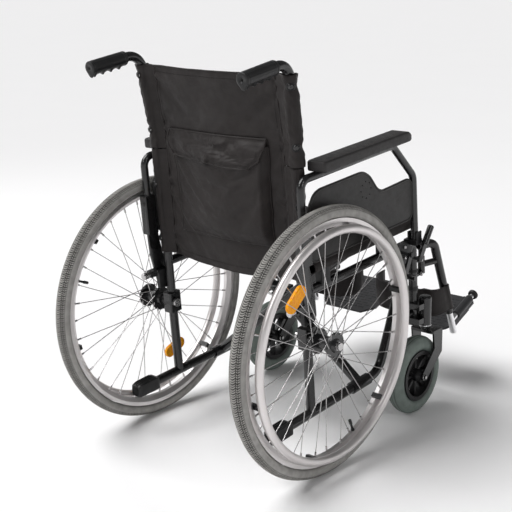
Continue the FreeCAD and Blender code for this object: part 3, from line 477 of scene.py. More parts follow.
def rear_tyre(side):
    """A tyre with arched grooves across its crown and one along each shoulder."""
    node = f"{side}_rear_tyre"
    low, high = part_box(node)
    centre = (low + high) / 2
    half = (high.x - low.x) / 2
    hoop = (high.z - low.z) / 2 - half
    pitches = round(2 * math.pi * (hoop + half) / TREAD_PITCH)
    stations = tyre_stations(half)
    points = []
    grooves = []
    walls = []
    for i in range(pitches):
        for share, depth in GROOVE_SHARES:
            for angle, arch, tread, sunk in stations:
                turn = 2 * math.pi * (i + share) / pitches + arch / (hoop + half)
                deep = max(tread * depth, sunk)
                r = half - deep * GROOVE_DEPTH
                out = Vector((0, math.sin(turn), math.cos(turn)))
                points.append(centre + OUTWARD * (r * math.sin(angle))
                              + out * (hoop + r * math.cos(angle)))
                grooves.append(deep)
                walls.append(1.0 - tread)
            for x in (TYRE_BEAD, -TYRE_BEAD):
                points.append(centre + OUTWARD * x + out * (hoop - half * 0.5))
                grooves.append(0.0)
                walls.append(1.0)
    rows = pitches * len(GROOVE_SHARES)
    faces = grid_faces(rows, len(stations) + 2, close_rows=True, close_columns=True)
    obj = placed_piece(side, "tyre", (points, faces), "rear_tyre", "wheel")
    # the groove depths are also the mask of the painted shade in the grooves
    point_values(obj, "groove", grooves)
    point_values(obj, "wall", walls)
    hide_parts(node)


def point_values(obj, name, values):
    obj.data.attributes.new(name, "FLOAT", "POINT").data.foreach_set("value", values)


VALVE_TURN = {"left": 68.0, "right": -158.0}      # degrees from straight up, towards the rear
RIM_BED_IN = 0.0195             # the rim's bed, inside its outer edge


def valve(side):
    """A tyre valve that comes through the rim towards the hub, with its cap."""
    angle = math.radians(VALVE_TURN[side])
    out = Vector((0, math.sin(angle), math.cos(angle)))
    low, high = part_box(f"{side}_rear_rim")
    centre = (low + high) / 2
    bed = (high.z - low.z) / 2 - RIM_BED_IN
    profile = [(0, ON_AXIS), (0, 0.0046), (0.004, 0.004), (0.006, 0.0028), (0.019, 0.0028),
               (0.0195, 0.0038), (0.031, 0.0036), (0.0325, 0.002), (0.0325, ON_AXIS)]
    made = revolve(profile, centre + out * bed, -out, 16)
    placed_piece(side, "valve", made, "black_plastic", "wheel")


# ---- Castors -------------------------------------------------------------------------
CASTOR_GROOVES = (-0.0075, 0.0, 0.0075)
CASTOR_GROOVE_DEPTH = 0.0016
CASTOR_STATIONS = 96            # round the tyre's section
CASTOR_SWEEP = 104.0            # degrees from the crown to the last of them
CASTOR_STEPS = 144              # round the wheel
NUT_IN = 0.0072                 # a castor nut's seat, inside the fork's widest place


def castor_tyre(side):
    """A solid tyre with three grooves round its crown and a soft shoulder."""
    node = f"{side}_castor_tyre"
    low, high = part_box(node)
    centre = (low + high) / 2
    outer = (high.z - low.z) / 2
    half = (high.x - low.x) / 2
    r = half - 0.0012
    hoop = outer - r
    profile = []
    depths = []
    for k in range(CASTOR_STATIONS + 1):
        angle = math.radians(mix(-CASTOR_SWEEP, CASTOR_SWEEP, k / CASTOR_STATIONS))
        x = r * math.sin(angle)
        sunk = max(hill(groove, 0.0011, x) for groove in CASTOR_GROOVES) * CASTOR_GROOVE_DEPTH
        ridge = 0.0005 * hill(0.0145, 0.001, abs(x))
        profile.append((x, hoop + r * math.cos(angle) - sunk + ridge))
        # how strongly the painted groove shade darkens each point of the section
        depths.append(min(1.0, sunk / 0.0014) * 0.7)
    bottom = outer - 0.036
    profile += [(half - 0.006, bottom), (-half + 0.006, bottom)]
    depths += [0.5, 0.5]
    made = revolve(profile, centre, OUTWARD, CASTOR_STEPS)
    obj = placed_piece(side, "small_tyre", made, "castor_tyre", "castor_wheel")
    walls = [min(1.0, abs(x) / half * 1.1) for x, _ in profile]
    point_values(obj, "groove", depths * CASTOR_STEPS)
    point_values(obj, "wall", walls * CASTOR_STEPS)
    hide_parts(node)


def castor_caps(side):
    """Domed nuts on the castor's axle bolt."""
    low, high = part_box(f"{side}_castor_fork")
    centre = Vector(JOINTS[f"{side}_castor_spin"]["pos_m"])
    profile = [(0, ON_AXIS), (0, 0.0078), (0.0035, 0.0078), (0.0042, 0.0062), (0.0066, 0.0048),
               (0.0078, 0.0028), (0.0082, ON_AXIS)]
    parts = [revolve(profile, Vector((x, centre.y, centre.z)), way, 24)
             for x, way in ((high.x - NUT_IN, OUTWARD), (low.x + NUT_IN, -OUTWARD))]
    placed_piece(side, "castor_nuts", merged(parts), "fastener_steel", "castor_fork")


def castor_ring(side):
    """The bright washer between the castor's housing and its fork."""
    low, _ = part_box(f"{side}_castor_housing")
    centre = Vector(JOINTS[f"{side}_castor_swivel"]["pos_m"])
    profile = [(-0.0004, 0.0085), (-0.0004, 0.0165), (0.0016, 0.0172), (0.0034, 0.0165),
               (0.0034, 0.0162), (0.0005, 0.0085)]
    made = revolve(profile, Vector((centre.x, centre.y, low.z)), Vector((0, 0, 1)), 40)
    placed_piece(side, "castor_ring", made, "chrome", "frame")


# ---- Push grips ----------------------------------------------------------------------
FINGERS = 4
GRIP_RINGS = 120                # along the grip
GRIP_POINTS = 64                # round it


def grip_axis():
    """Front end, rear end and radius of the left push grip."""
    low, high = leaning_box("left_push_grip")
    points = [vertex.co for vertex in NODES["left_push_grip"].data.vertices]
    rear = [p for p in points if to_leaning(p).y < low.y + 0.006]
    front = [p for p in points if to_leaning(p).y > high.y - 0.006]
    centres = []
    for group in (front, rear):
        low, high = extent(group)
        centres.append((low + high) / 2)
    way = (centres[1] - centres[0]).normalized()
    reach = [(p - centres[0]).dot(way) for p in points]
    radius = max(((p - centres[0]) - way * (p - centres[0]).dot(way)).length for p in points)
    return centres[0] + way * min(reach), centres[0] + way * max(reach), radius


def grip_radius(radius, angle, share):
    """Distance from the grip's axis: a keel below with hollows for the fingers."""
    keel = hill(0.0, 0.42, angle)
    wave = abs(math.sin(math.pi * (share * (FINGERS + 0.35) + 0.08)))
    tooth = 0.0012 + 0.0052 * (1 - wave) ** 1.4 * smooth(0.02, 0.1, share)
    tooth = max(tooth, 0.0062 * smooth(0.93, 0.975, share))
    flute = 0.0003 * math.cos(angle * 18) * smooth(0.6, 1.2, abs(angle)) * (share < 0.92)
    collar = -0.0012 * hill(0.075, 0.008, share) - 0.0008 * hill(0.93, 0.006, share)
    return radius - 0.0006 + keel * tooth + flute + collar


def push_grip(side):
    """A rubber grip with finger hollows below, its rear end turned in."""
    start, end, radius = grip_axis()
    way = (end - start).normalized()
    across = way.cross(UP).normalized()
    down = way.cross(across).normalized()
    if down.z > 0:
        down = -down
    rings = []
    for i in range(GRIP_RINGS + 1):
        share = i / GRIP_RINGS
        blunt = math.sqrt(max(0.0, 1 - (1 - min(share / 0.018, (1 - share) / 0.03, 1.0)) ** 2))
        ring = []
        for j in range(GRIP_POINTS):
            angle = 2 * math.pi * j / GRIP_POINTS - math.pi
            r = grip_radius(radius, angle, share) - 0.003 * (1 - blunt)
            ring.append(start + way * ((end - start).length * share)
                        + down * (r * math.cos(angle)) + across * (r * math.sin(angle)))
        rings.append(ring)
    half = GRIP_POINTS // 2
    for inset, back in ((0.0035, 0.0), (0.0033, 0.006)):
        ring = ring_round(end - way * back, down, -across, inset, GRIP_POINTS)
        rings.append(list(reversed(ring[half:] + ring[:half])))
    obj = side_piece(side, "grip", loft(rings), "grip_rubber", "frame")
    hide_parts(f"{side}_push_grip")


# ---- Armrests ------------------------------------------------------------------------
def rounded_section(half_width, half_height, radius, steps=5):
    """Points (x, h) round a rectangle with rounded corners."""
    made = []
    for quarter in range(4):
        cx = (half_width - radius) * (1 if quarter in (0, 3) else -1)
        ch = (half_height - radius) * (1 if quarter in (0, 1) else -1)
        for k in range(steps + 1):
            angle = math.pi / 2 * (quarter + k / steps)
            made.append((cx + radius * math.cos(angle), ch + radius * math.sin(angle)))
    return made


PAD_THICK = 0.024
PAD_STATIONS = 60               # between its softened ends


def armrest_pad(side):
    """A self-skinned foam pad: a block with softened edges, sloped off at its front end."""
    low, high = leaning_box("left_armrest_pad")
    middle = (low.x + high.x) / 2
    half = (high.x - low.x) / 2
    length = high.y - low.y
    rise = (high.z - low.z) - PAD_THICK
    rings = []
    stations = [(0.0, 1.0), (0.0008, 0.55), (0.0022, 0.25), (0.0045, 0.06), (0.007, 0.0)]
    for k in range(PAD_STATIONS + 1):
        stations.append((mix(0.010, length - 0.016, k / PAD_STATIONS), 0.0))
    stations += [(length - 0.011, 0.02), (length - 0.006, 0.12), (length - 0.0025, 0.35),
                 (length - 0.0006, 0.7), (length, 1.0)]
    for run, blunt in stations:
        share = run / length
        bottom = low.z + rise * share
        top = bottom + PAD_THICK - 0.006 * smooth(0.955, 1.0, share)
        inset = 0.0042 * blunt
        ring = []
        for x, h in rounded_section(half - 0.0004 - inset, (top - bottom) / 2 - inset, 0.0042):
            crown = 0.0007 * (1 - (x / half) ** 2) if h > 0 else 0.0
            wobble = 0.0003 * noise.noise(Vector((run * 30, x * 60, h * 60)))
            ring.append(at(middle + x, low.y + run, (top + bottom) / 2 + h + crown + wobble))
        rings.append(ring)
    obj = side_piece(side, "arm_pad", loft(rings), "pad_urethane", "armrest")
    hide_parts(f"{side}_armrest_pad")


def face_outline(name):
    """The outline in u and v of a CAD plate's outer face."""
    mesh = NODES[name].data
    x = max(vertex.co.x for vertex in mesh.vertices)
    edges = {}
    for polygon in mesh.polygons:
        corners = [mesh.vertices[i].co for i in polygon.vertices]
        if max(abs(c.x - x) for c in corners) > 1e-5:
            continue
        keys = [(round(c.y, 5), round(c.z, 5)) for c in corners]
        for a, b in zip(keys, keys[1:] + keys[:1]):
            if (b, a) in edges:
                del edges[(b, a)]
            else:
                edges[(a, b)] = True
    start = next(iter(edges))[0]
    follow = {a: b for a, b in edges}
    loop = [start]
    while follow[loop[-1]] != start:
        loop.append(follow[loop[-1]])
    outline = []
    for y, z in loop:
        place = to_leaning(Vector((x, y, z)))
        if not outline or math.hypot(place.y - outline[-1][0], place.z - outline[-1][1]) > 0.001:
            outline.append((place.y, place.z))
    return outline


def flat_shape(loops, thickness, bevel, x):
    """A soft-edged plate in the leaning frame, from its outline and the loops of its holes."""
    curve = bpy.data.curves.new("flat", "CURVE")
    curve.dimensions = "2D"
    curve.fill_mode = "BOTH"
    curve.extrude = thickness / 2 - bevel
    curve.bevel_depth = bevel
    curve.bevel_resolution = 2
    curve.offset = -bevel
    for loop in loops:
        spline = curve.splines.new("POLY")
        spline.points.add(len(loop) - 1)
        for point, (u, v) in zip(spline.points, loop):
            point.co = (u, v, 0, 1)
        spline.use_cyclic_u = True
    holder = bpy.data.objects.new("flat", curve)
    SCENE.collection.objects.link(holder)
    bpy.context.view_layer.update()
    mesh = bpy.data.meshes.new_from_object(holder.evaluated_get(
        bpy.context.evaluated_depsgraph_get()))
    bpy.data.objects.remove(holder)
    points = [at(x + v.co.z, v.co.x, v.co.y) for v in mesh.vertices]
    faces = [tuple(p.vertices) for p in mesh.polygons]
    return points, faces


def rounded_outline(outline, radius):
    """The outline with an arc instead of each corner, as tight as its edges allow."""
    made = []
    total = len(outline)
    for i, corner in enumerate(outline):
        here = Vector(corner)
        before = Vector(outline[i - 1]) - here
        after = Vector(outline[(i + 1) % total]) - here
        cut = min(radius, before.length * 0.45, after.length * 0.45)
        start = here + before.normalized() * cut
        end = here + after.normalized() * cut
        for k in range(7):
            share = k / 6
            made.append(tuple(start.lerp(here, share).lerp(here.lerp(end, share), share)))
    return made


HOLES = 8
HOLE_RING = 0.019
HOLE_R = 0.0018
PANEL_CORNER = 0.022
PANEL_THICK = 0.0032
HOLE_PLACE = (0.206, 0.29)     # u and v of the middle of the ring of holes


def side_panel(side):
    """A moulded clothes guard with a raised rim and a ring of small holes."""
    low, high = leaning_box("left_side_panel")
    outline = rounded_outline(face_outline("left_side_panel"), PANEL_CORNER)
    x = (low.x + high.x) / 2
    loops = [outline]
    for i in range(HOLES):
        angle = 2 * math.pi * i / HOLES
        u = HOLE_PLACE[0] + HOLE_RING * math.cos(angle)
        v = HOLE_PLACE[1] + HOLE_RING * math.sin(angle)
        loops.append([(u + HOLE_R * math.cos(math.pi * k / 6),
                       v + HOLE_R * math.sin(math.pi * k / 6)) for k in range(12)])
    plate = flat_shape(loops, PANEL_THICK, 0.0006, x)
    rim = wire([at(x, u, v) for u, v in outline], PANEL_THICK, closed=True, count=12)
    obj = side_piece(side, "clothes_guard", merged([plate, rim]), "panel_plastic", "armrest")
    crisp(obj)
    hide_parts(f"{side}_side_panel")


def crisp(obj, degrees=40):
    """Keeps sharp edges sharp under smooth shading."""
    obj.data.shade_smooth()
    obj.data.set_sharp_from_angle(angle=math.radians(degrees))


# ---- Cloth ---------------------------------------------------------------------------
SETTLE_FRAMES = 20
CLOTH_SETTINGS = {"quality": 6, "mass": 0.12, "tension_stiffness": 60, "compression_stiffness": 40,
                  "shear_stiffness": 30, "air_damping": 2.0}


def settle(obj, pinned, slack, gravity, bend=0.4):
    """Hangs a sheet from its pinned points, with a little more cloth than the frame spans."""
    group = obj.vertex_groups.new(name="pinned")
    group.add(pinned, 1.0, "REPLACE")
    cloth = obj.modifiers.new("cloth", "CLOTH")
    settings = cloth.settings
    for key, value in CLOTH_SETTINGS.items():
        setattr(settings, key, value)
    settings.bending_stiffness = bend
    settings.shrink_min = -slack
    settings.shrink_max = -slack
    settings.vertex_group_mass = "pinned"
    settings.effector_weights.gravity = gravity
    cloth.collision_settings.use_collision = False
    cloth.collision_settings.use_self_collision = False
    cloth.point_cache.frame_start = 1
    cloth.point_cache.frame_end = SETTLE_FRAMES
    for number in range(1, SETTLE_FRAMES + 1):
        SCENE.frame_set(number)
    apply_modifiers(obj)
    obj.vertex_groups.clear()
    SCENE.frame_set(1)


def stitches(path, lift, length=0.0032, gap=0.0014, radius=0.00032):
    """A line of thread along a path, as a row of short stitches that stand on the cloth."""
    parts = []
    carried = 0.0
    for a, b in zip(path, path[1:]):
        way = b - a
        run = way.length
        if run < 1e-6:
            continue
        way /= run
        place = carried
        while place + length < run + length * 0.5:
            first = a + way * place + lift
            last = a + way * min(place + length, run) + lift
            parts.append(wire([first, (first + last) / 2 + lift * 0.25, last], radius, count=5))
            place += length + gap
        carried = max(0.0, place - run)
    return merged(parts)


KNEE_V = 0.430                  # above this the rear uprights lean back and a little outward
LEAN_OUT = (0.008, -0.0188)     # x and u that an upright gains from its knee to its top
LEAN_RUN = 0.1788
POST_U = 0.004
SEAM_X = 0.180                  # where the sleeves round the uprights are sewn on
SLEEVE_R = 0.0125
SCREWS_V = (0.165, 0.300, 0.430, 0.560)


def post_at(v):
    """x and u of the left rear upright's middle at height v."""
    share = max(0.0, v - KNEE_V) / LEAN_RUN
    return FRAME_X + LEAN_OUT[0] * share, POST_U + LEAN_OUT[1] * share


def back_u(v):
    return post_at(v)[1]


BACK_LOW, BACK_HIGH = leaning_box("back_upholstery")
BACK_V0 = BACK_LOW.z
BACK_V1 = BACK_HIGH.z
BACK_COLUMNS = 81
BACK_ROWS = 97
TOP_DIP = 0.002                 # how far the middle of the top edge hangs below its ends
BOTTOM_DIP = 0.009              # and the middle of the bottom edge


def screw_crease(x, v):
    """Folds that fan out from the screws which hold the back on its uprights."""
    total = 0.0
    for screw in SCREWS_V:
        across = SEAM_X + 0.02 - abs(x)
        along = v - screw - 0.004 * math.copysign(1, x)
        reach = math.hypot(across, along)
        angle = math.atan2(along, across + 0.004)
        fade = hill(0.0, 0.06, along) * hill(0.0, 0.075, across)
        total += fade * math.cos(angle * 7 + 1.3 * screw * 10) * smooth(0.0, 0.03, reach)
    return total


class Sling:
    """The back's middle panel. What lies on it asks for the u of its surface."""

    def __init__(self):
        self.points = [self.start(i, j) for i in range(BACK_ROWS) for j in range(BACK_COLUMNS)]

    def start(self, i, j):
        s = j / (BACK_COLUMNS - 1)
        t = i / (BACK_ROWS - 1)
        x = mix(-SEAM_X, SEAM_X, s)
        across = 1 - (2 * s - 1) ** 2
        v = mix(BACK_V0, BACK_V1, t) - across * (TOP_DIP * t + BOTTOM_DIP * (1 - t) ** 3)
        bulge = 0.010 * across * (0.5 + 0.5 * math.sin(math.pi * (t * 0.9 + 0.05)))
        crease = 0.004 * noise.noise(Vector((x * 9, v * 4, 0.3))) + 0.0034 * screw_crease(x, v)
        return at(x, back_u(v) - bulge - crease, v)

    def build(self):
        faces = grid_faces(BACK_ROWS, BACK_COLUMNS)
        self.obj = piece("back_sling", self.points, faces, MATERIALS["nylon_black"])
        edge = [i * BACK_COLUMNS + j for i in range(BACK_ROWS) for j in (0, BACK_COLUMNS - 1)]
        settle(self.obj, edge, 0.003, gravity=0.03)
        self.points = vertex_points(self.obj)

    def u_at(self, i, j):
        return to_leaning(self.points[i * BACK_COLUMNS + j]).y

    def surface_u(self, x, v):
        """u of the panel at a place."""
        s = (x + SEAM_X) / (2 * SEAM_X) * (BACK_COLUMNS - 1)
        t = (v - BACK_V0) / (BACK_V1 - BACK_V0) * (BACK_ROWS - 1)
        j = min(BACK_COLUMNS - 2, max(0, int(s)))
        i = min(BACK_ROWS - 2, max(0, int(t)))
        fs = min(1.0, max(0.0, s - j))
        ft = min(1.0, max(0.0, t - i))
        low = mix(self.u_at(i, j), self.u_at(i, j + 1), fs)
        high = mix(self.u_at(i + 1, j), self.u_at(i + 1, j + 1), fs)
        return mix(low, high, ft)


def fold_with_back(obj):
    """Rides on the left frame."""
    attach(obj, "left_frame")
    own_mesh(obj)


POCKET_V0 = 0.196
POCKET_V1 = 0.424
POCKET_X0 = -0.140
POCKET_X1 = 0.150
POCKET_ROWS = 61
POCKET_COLUMNS = 65
FLAP_V0 = 0.382
FLAP_V1 = 0.441
FLAP_X0 = -0.137
FLAP_X1 = 0.152
FLAP_ROWS = 25
FLAP_COLUMNS = 73
PLY = 0.0013                    # thickness of one ply of the cloth


def pocket_depth(s, t):
    """How far the pocket stands off the sling, across s and up t, both from 0 to 1."""
    wall = min(1.0, s / 0.04) * smooth(0.0, 0.4, 1 - s) * min(1.0, t / 0.14 + 0.05)
    full = mix(0.021, 0.011, s) * (0.72 + 0.28 * math.sin(math.pi * min(1.0, t * 0.8 + 0.1)))
    return 0.0022 + full * wall


def pocket_points(sling):
    points = []
    for i in range(POCKET_ROWS):
        t = i / (POCKET_ROWS - 1)
        for j in range(POCKET_COLUMNS):
            s = j / (POCKET_COLUMNS - 1)
            x = mix(POCKET_X0, POCKET_X1, s) - 0.007 * (1 - t) * s
            v = mix(POCKET_V0, POCKET_V1, t)
            points.append(at(x, sling.surface_u(x, v) - pocket_depth(s, t), v))
    return points


def keep_behind(points, under, least):
    """Moves points back until they clear the surface that they lie on."""
    moved = []
    for point in points:
        place = to_leaning(point)
        limit = under(place.x, place.z) - least
        moved.append(at(place.x, min(place.y, limit), place.z))
    return moved


def set_points(obj, points):
    obj.data.vertices.foreach_set("co", [c for p in points for c in p])
    obj.data.update()


def back_pocket(sling):
    """The pocket on the back: a fuller sheet sewn down on three sides."""
    faces = grid_faces(POCKET_ROWS, POCKET_COLUMNS)
    obj = piece("back_pocket", pocket_points(sling), faces, MATERIALS["nylon_black"])
    last = POCKET_COLUMNS - 1
    sewn = [i * POCKET_COLUMNS + j for i in range(POCKET_ROWS) for j in (0, 1, last - 1, last)]
    sewn += range(POCKET_COLUMNS)
    settle(obj, sorted(set(sewn)), 0.007, gravity=0.05)
    points = keep_behind(vertex_points(obj), sling.surface_u, PLY)
    set_points(obj, points)
    return obj, points


def flap_points(cover):
    points = []
    for i in range(FLAP_ROWS):
        t = i / (FLAP_ROWS - 1)
        right = 0.034 * smooth(0.55, 1.0, t)
        left = 0.012 * smooth(0.6, 1.0, t) - 0.008 * math.sin(math.pi * t)
        for j in range(FLAP_COLUMNS):
            s = j / (FLAP_COLUMNS - 1)
            x = mix(FLAP_X0 + right, FLAP_X1 - left, s)
            v = mix(FLAP_V1, FLAP_V0, t) - 0.003 * (1 - (2 * s - 1) ** 2) * t
            pleats = 0.0011 * math.cos(x * 430) * hill(0.005, 0.022, x) * (1 - t)
            fold = 0.0045 * math.sin(math.pi * t) * (1 + 0.6 * math.sin(s * 11 + 1))
            points.append(at(x, cover(x, v) - 0.004 - 0.006 * t - fold - pleats, v))
    return points


def back_flap(cover):
    """The pocket's flap, sewn along its top edge and creased where its fastener pulls."""
    faces = grid_faces(FLAP_ROWS, FLAP_COLUMNS)
    obj = piece("pocket_flap", flap_points(cover), faces, MATERIALS["nylon_black"])
    sewn = list(range(2 * FLAP_COLUMNS))
    middle = FLAP_COLUMNS // 2
    low_row = (FLAP_ROWS * 2 // 3) * FLAP_COLUMNS
    sewn += [low_row + middle + k for k in (-1, 0, 1)]
    settle(obj, sewn, 0.010, gravity=0.12, bend=0.25)
    points = keep_behind(vertex_points(obj), cover, 1.5 * PLY)
    set_points(obj, points)
    return obj, points


def pocket_cover(sling, pocket):
    """A function for u of the outermost cloth under the flap."""
    def cover(x, v):
        u = sling.surface_u(x, v)
        s = (x - POCKET_X0) / (POCKET_X1 - POCKET_X0)
        t = (v - POCKET_V0) / (POCKET_V1 - POCKET_V0)
        if -0.03 < s < 1.03 and t < 1.06:
            j = min(POCKET_COLUMNS - 1, max(0, round(s * (POCKET_COLUMNS - 1))))
            i = min(POCKET_ROWS - 1, max(0, round(t * (POCKET_ROWS - 1))))
            fade = 1 - smooth(1.0, 1.06, t)
            on_pocket = to_leaning(pocket[i * POCKET_COLUMNS + j]).y
            u = min(u, mix(u, on_pocket, fade))
        return u
    return cover


def grid_lines(points, columns, rows_at, columns_at, step=3):
    """Chosen rows and columns of a grid of points, as paths."""
    return ([points[i * columns:(i + 1) * columns:step] for i in rows_at]
            + [points[j::columns][::step] for j in columns_at])


def both_ends(count, inset=0):
    """The numbers of the first and last lines of a grid, so many lines in."""
    return inset, count - 1 - inset


def back_stitching(sling_at, pocket_at, flap_at):
    """The rows of stitches that show on the back."""
    lift = FORWARD * -(PLY * 0.5 + 0.0003)
    on_sling = grid_lines(sling_at, BACK_COLUMNS, both_ends(BACK_ROWS, 3),
                          both_ends(BACK_COLUMNS, 2))
    on_pocket = grid_lines(pocket_at, POCKET_COLUMNS, (2,), both_ends(POCKET_COLUMNS, 2))
    on_flap = grid_lines(flap_at, FLAP_COLUMNS, (1, FLAP_ROWS - 4), both_ends(FLAP_COLUMNS, 4))
    seams = [stitches(path, lift) for path in on_sling + on_pocket]
    seams += [stitches(path, lift * 1.3) for path in on_flap]
    return piece("back_stitching", *merged(seams), THREAD)


def back_binding(sling_at, pocket_at, flap_at):
    """The turned edges of the back, its pocket and its flap."""
    edges = []
    for points, columns, rows_at, columns_at, step, radius in (
            (sling_at, BACK_COLUMNS, (0,), (), 2, 0.0017),
            (sling_at, BACK_COLUMNS, (BACK_ROWS - 1,), both_ends(BACK_COLUMNS), 2, 0.0019),
            (pocket_at, POCKET_COLUMNS, (0,), both_ends(POCKET_COLUMNS), 2, 0.0017),
            (flap_at, FLAP_COLUMNS, (FLAP_ROWS - 1,), (), 2, 0.0022),
            (flap_at, FLAP_COLUMNS, (1,), (), 2, 0.0018),
            (flap_at, FLAP_COLUMNS, (), both_ends(FLAP_COLUMNS), 1, 0.0021)):
        for path in grid_lines(points, columns, rows_at, columns_at, step):
            edges.append(wire(path, radius, count=8))
    return piece("back_binding", *merged(edges), MATERIALS["nylon_black"])


def back_rest():
    """The back's middle panel, its pocket, flap and seams."""
    sling = Sling()
    sling.build()
    pocket, pocket_at = back_pocket(sling)
    cover = pocket_cover(sling, pocket_at)
    flap, flap_at = back_flap(cover)
    thread = back_stitching(sling.points, pocket_at, flap_at)
    binding = back_binding(sling.points, pocket_at, flap_at)
    for obj in (sling.obj, pocket, flap):
        thicken(obj, PLY)
        subdivide(obj)
    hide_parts("back_upholstery")
    for obj in (sling.obj, pocket, flap, thread, binding):
        fold_with_back(obj)


SCREW_WAY = Vector((0.62, 0.78, 0)).normalized()
SLEEVE_STEP_V = 0.386           # the lower sleeve ends here and the looser upper one begins
UPPER_SLEEVE_R = SLEEVE_R + 0.0032
SLEEVE_TURNS = 40               # points round the upright
SLEEVE_TAIL = 9                 # points from the upright in to the seam
SLEEVE_OPEN = math.radians(38)  # half the gap where the cloth leaves the upright


def sleeve_ring(v, radius, seed):
    """The sleeve's section at height v: round the upright and in to the seam."""
    x, u = post_at(v)
    ring = []
    for k in range(SLEEVE_TURNS + 1):
        angle = mix(SLEEVE_OPEN, 2 * math.pi - SLEEVE_OPEN, k / SLEEVE_TURNS)
        crease = noise.noise(Vector((math.cos(angle) * 1.5, v * 20 + 2.5 * math.sin(angle), seed)))
        ripple = max(hill(s, 0.05, v) for s in SCREWS_V) * math.sin(v * 260 + angle * 5)
        pinch = max(hill(s, 0.011, v) for s in SCREWS_V)
        r = radius + (0.0022 * crease + 0.0009 * ripple) * (1 - pinch)
        r = max(mix(r, TUBE_R + 0.0008, pinch), TUBE_R + 0.0006)
        ring.append(at(x - r * math.cos(angle), u - r * math.sin(angle), v))
    inner = to_leaning(ring[-1])
    outer = to_leaning(ring[0])
    for k in range(1, SLEEVE_TAIL + 1):
        share = k / (SLEEVE_TAIL + 1)
        ring.append(at(mix(inner.x, SEAM_X, share), mix(inner.y, u + 0.0006, share ** 0.7), v))
    ring.append(at(SEAM_X - 0.002, u, v))
    for k in range(SLEEVE_TAIL, 0, -1):
        share = k / (SLEEVE_TAIL + 1)
        ring.append(at(mix(outer.x, SEAM_X, share), mix(outer.y, u - 0.0006, share ** 0.7), v))
    return ring


def sleeve(side):
    """The sleeve that holds the back on its upright, in two lengths."""
    sign = SIGNS[side]
    parts = []
    for low, high, radius, seed in (
            (BACK_V0, SLEEVE_STEP_V - 0.001, SLEEVE_R, 1.0 + sign),
            (SLEEVE_STEP_V + 0.001, BACK_V1 + 0.001, UPPER_SLEEVE_R, 5.0 + sign)):
        rows = round((high - low) / 0.004)
        rings = [sleeve_ring(mix(low, high, i / rows), radius, seed) for i in range(rows + 1)]
        parts.append(loft(rings, ends=False))
    obj = side_piece(side, "sleeve", merged(parts), "nylon_black")
    thicken(obj, PLY * 0.8, offset=1.0)
    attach(obj, f"{side}_frame")


def cup_washers(side):
    """Round-headed black screws in cup washers, over the back's sleeves."""
    washer = [(0.0, ON_AXIS), (0.0, 0.0098), (0.001, 0.0096), (0.0026, 0.0082), (0.003, 0.0072),
              (0.0022, 0.0064), (0.0022, ON_AXIS)]
    head = [(0.002, ON_AXIS), (0.002, 0.0064), (0.0032, 0.0062), (0.0046, 0.005), (0.0056, 0.003),
            (0.0059, ON_AXIS)]
    washers = []
    heads = []
    out = Vector((SCREW_WAY.x, 0, 0)) - FORWARD * SCREW_WAY.y
    for v in SCREWS_V:
        x, u = post_at(v)
        start = at(x, u, v) + out * (TUBE_R + 0.0012)
        washers.append(revolve(washer, start, out, 32))
        heads.append(revolve(head, start, out, 28))
    for name, parts, slot in (("cup_washers", washers, "black_plastic"),
                              ("back_screws", heads, "hub_black")):
        side_piece(side, name, merged(parts), slot, "frame")


# ---- Seat ----------------------------------------------------------------------------
SEAT_COLUMNS = 61
SEAT_ROWS = 49
SEAT_SAG = 0.007
WRAP_R = 0.0124
WRAP_POINTS = 19                # round each rail
WRAP_STEP = 11.5                # degrees between them


def seat_start(s, t, low, high, rail_v):
    """A point of the seat sling: over the rails at both sides and slack between them."""
    u = mix(low.y, high.y, t)
    sag = SEAT_SAG * (1 - (2 * s - 1) ** 2)
    return at(mix(-FRAME_X, FRAME_X, s), u, rail_v + WRAP_R - sag)


def seat_wrap(sign, u, rail_v):
    """The cloth from the top of a rail, round its outer side and back underneath."""
    made = []
    for k in range(1, WRAP_POINTS + 1):
        angle = math.radians(90 - k * WRAP_STEP)
        made.append(at(sign * (FRAME_X + WRAP_R * math.cos(angle)), u,
                       rail_v + WRAP_R * math.sin(angle)))
    return made


def seat_sling():
    """The seat's cloth, slack between the rails and wrapped round both."""
    low, high = leaning_box("seat_upholstery")
    rail_v = leaning_box("cross_tube_a")[1].z - TUBE_R
    points = [seat_start(j / (SEAT_COLUMNS - 1), i / (SEAT_ROWS - 1), low, high, rail_v)
              for i in range(SEAT_ROWS) for j in range(SEAT_COLUMNS)]
    obj = piece("seat_middle", points, grid_faces(SEAT_ROWS, SEAT_COLUMNS),
                MATERIALS["nylon_black"])
    last = SEAT_COLUMNS - 1
    settle(obj, [i * SEAT_COLUMNS + j for i in range(SEAT_ROWS) for j in (0, 1, last - 1, last)],
           0.006, gravity=0.3)
    middle = vertex_points(obj)
    bpy.data.objects.remove(obj)
    rows = []
    for i in range(SEAT_ROWS):
        u = mix(low.y, high.y, i / (SEAT_ROWS - 1))
        row = middle[i * SEAT_COLUMNS:(i + 1) * SEAT_COLUMNS]
        rows.append(list(reversed(seat_wrap(-1, u, rail_v))) + row + seat_wrap(1, u, rail_v))
    columns = len(rows[0])
    points = [p for row in rows for p in row]
    obj = piece("seat_sling", points, grid_faces(SEAT_ROWS, columns), MATERIALS["nylon_black"])
    lift = UP * (PLY * 0.75)
    seams = [stitches(path, lift)
             for path in grid_lines(points, columns, (), both_ends(columns, 27))]
    for i in both_ends(SEAT_ROWS, 2):
        seams.append(stitches(points[i * columns + 20:(i + 1) * columns - 20:3], lift))
    thread = piece("seat_stitching", *merged(seams), THREAD)
    edges = [wire(path, 0.0015, count=8)
             for path in grid_lines(points, columns, both_ends(SEAT_ROWS), (), 2)]
    binding = piece("seat_binding", *merged(edges), MATERIALS["nylon_black"])
    thicken(obj, PLY)
    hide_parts("seat_upholstery")
    for part in (obj, thread, binding):
        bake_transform(part)


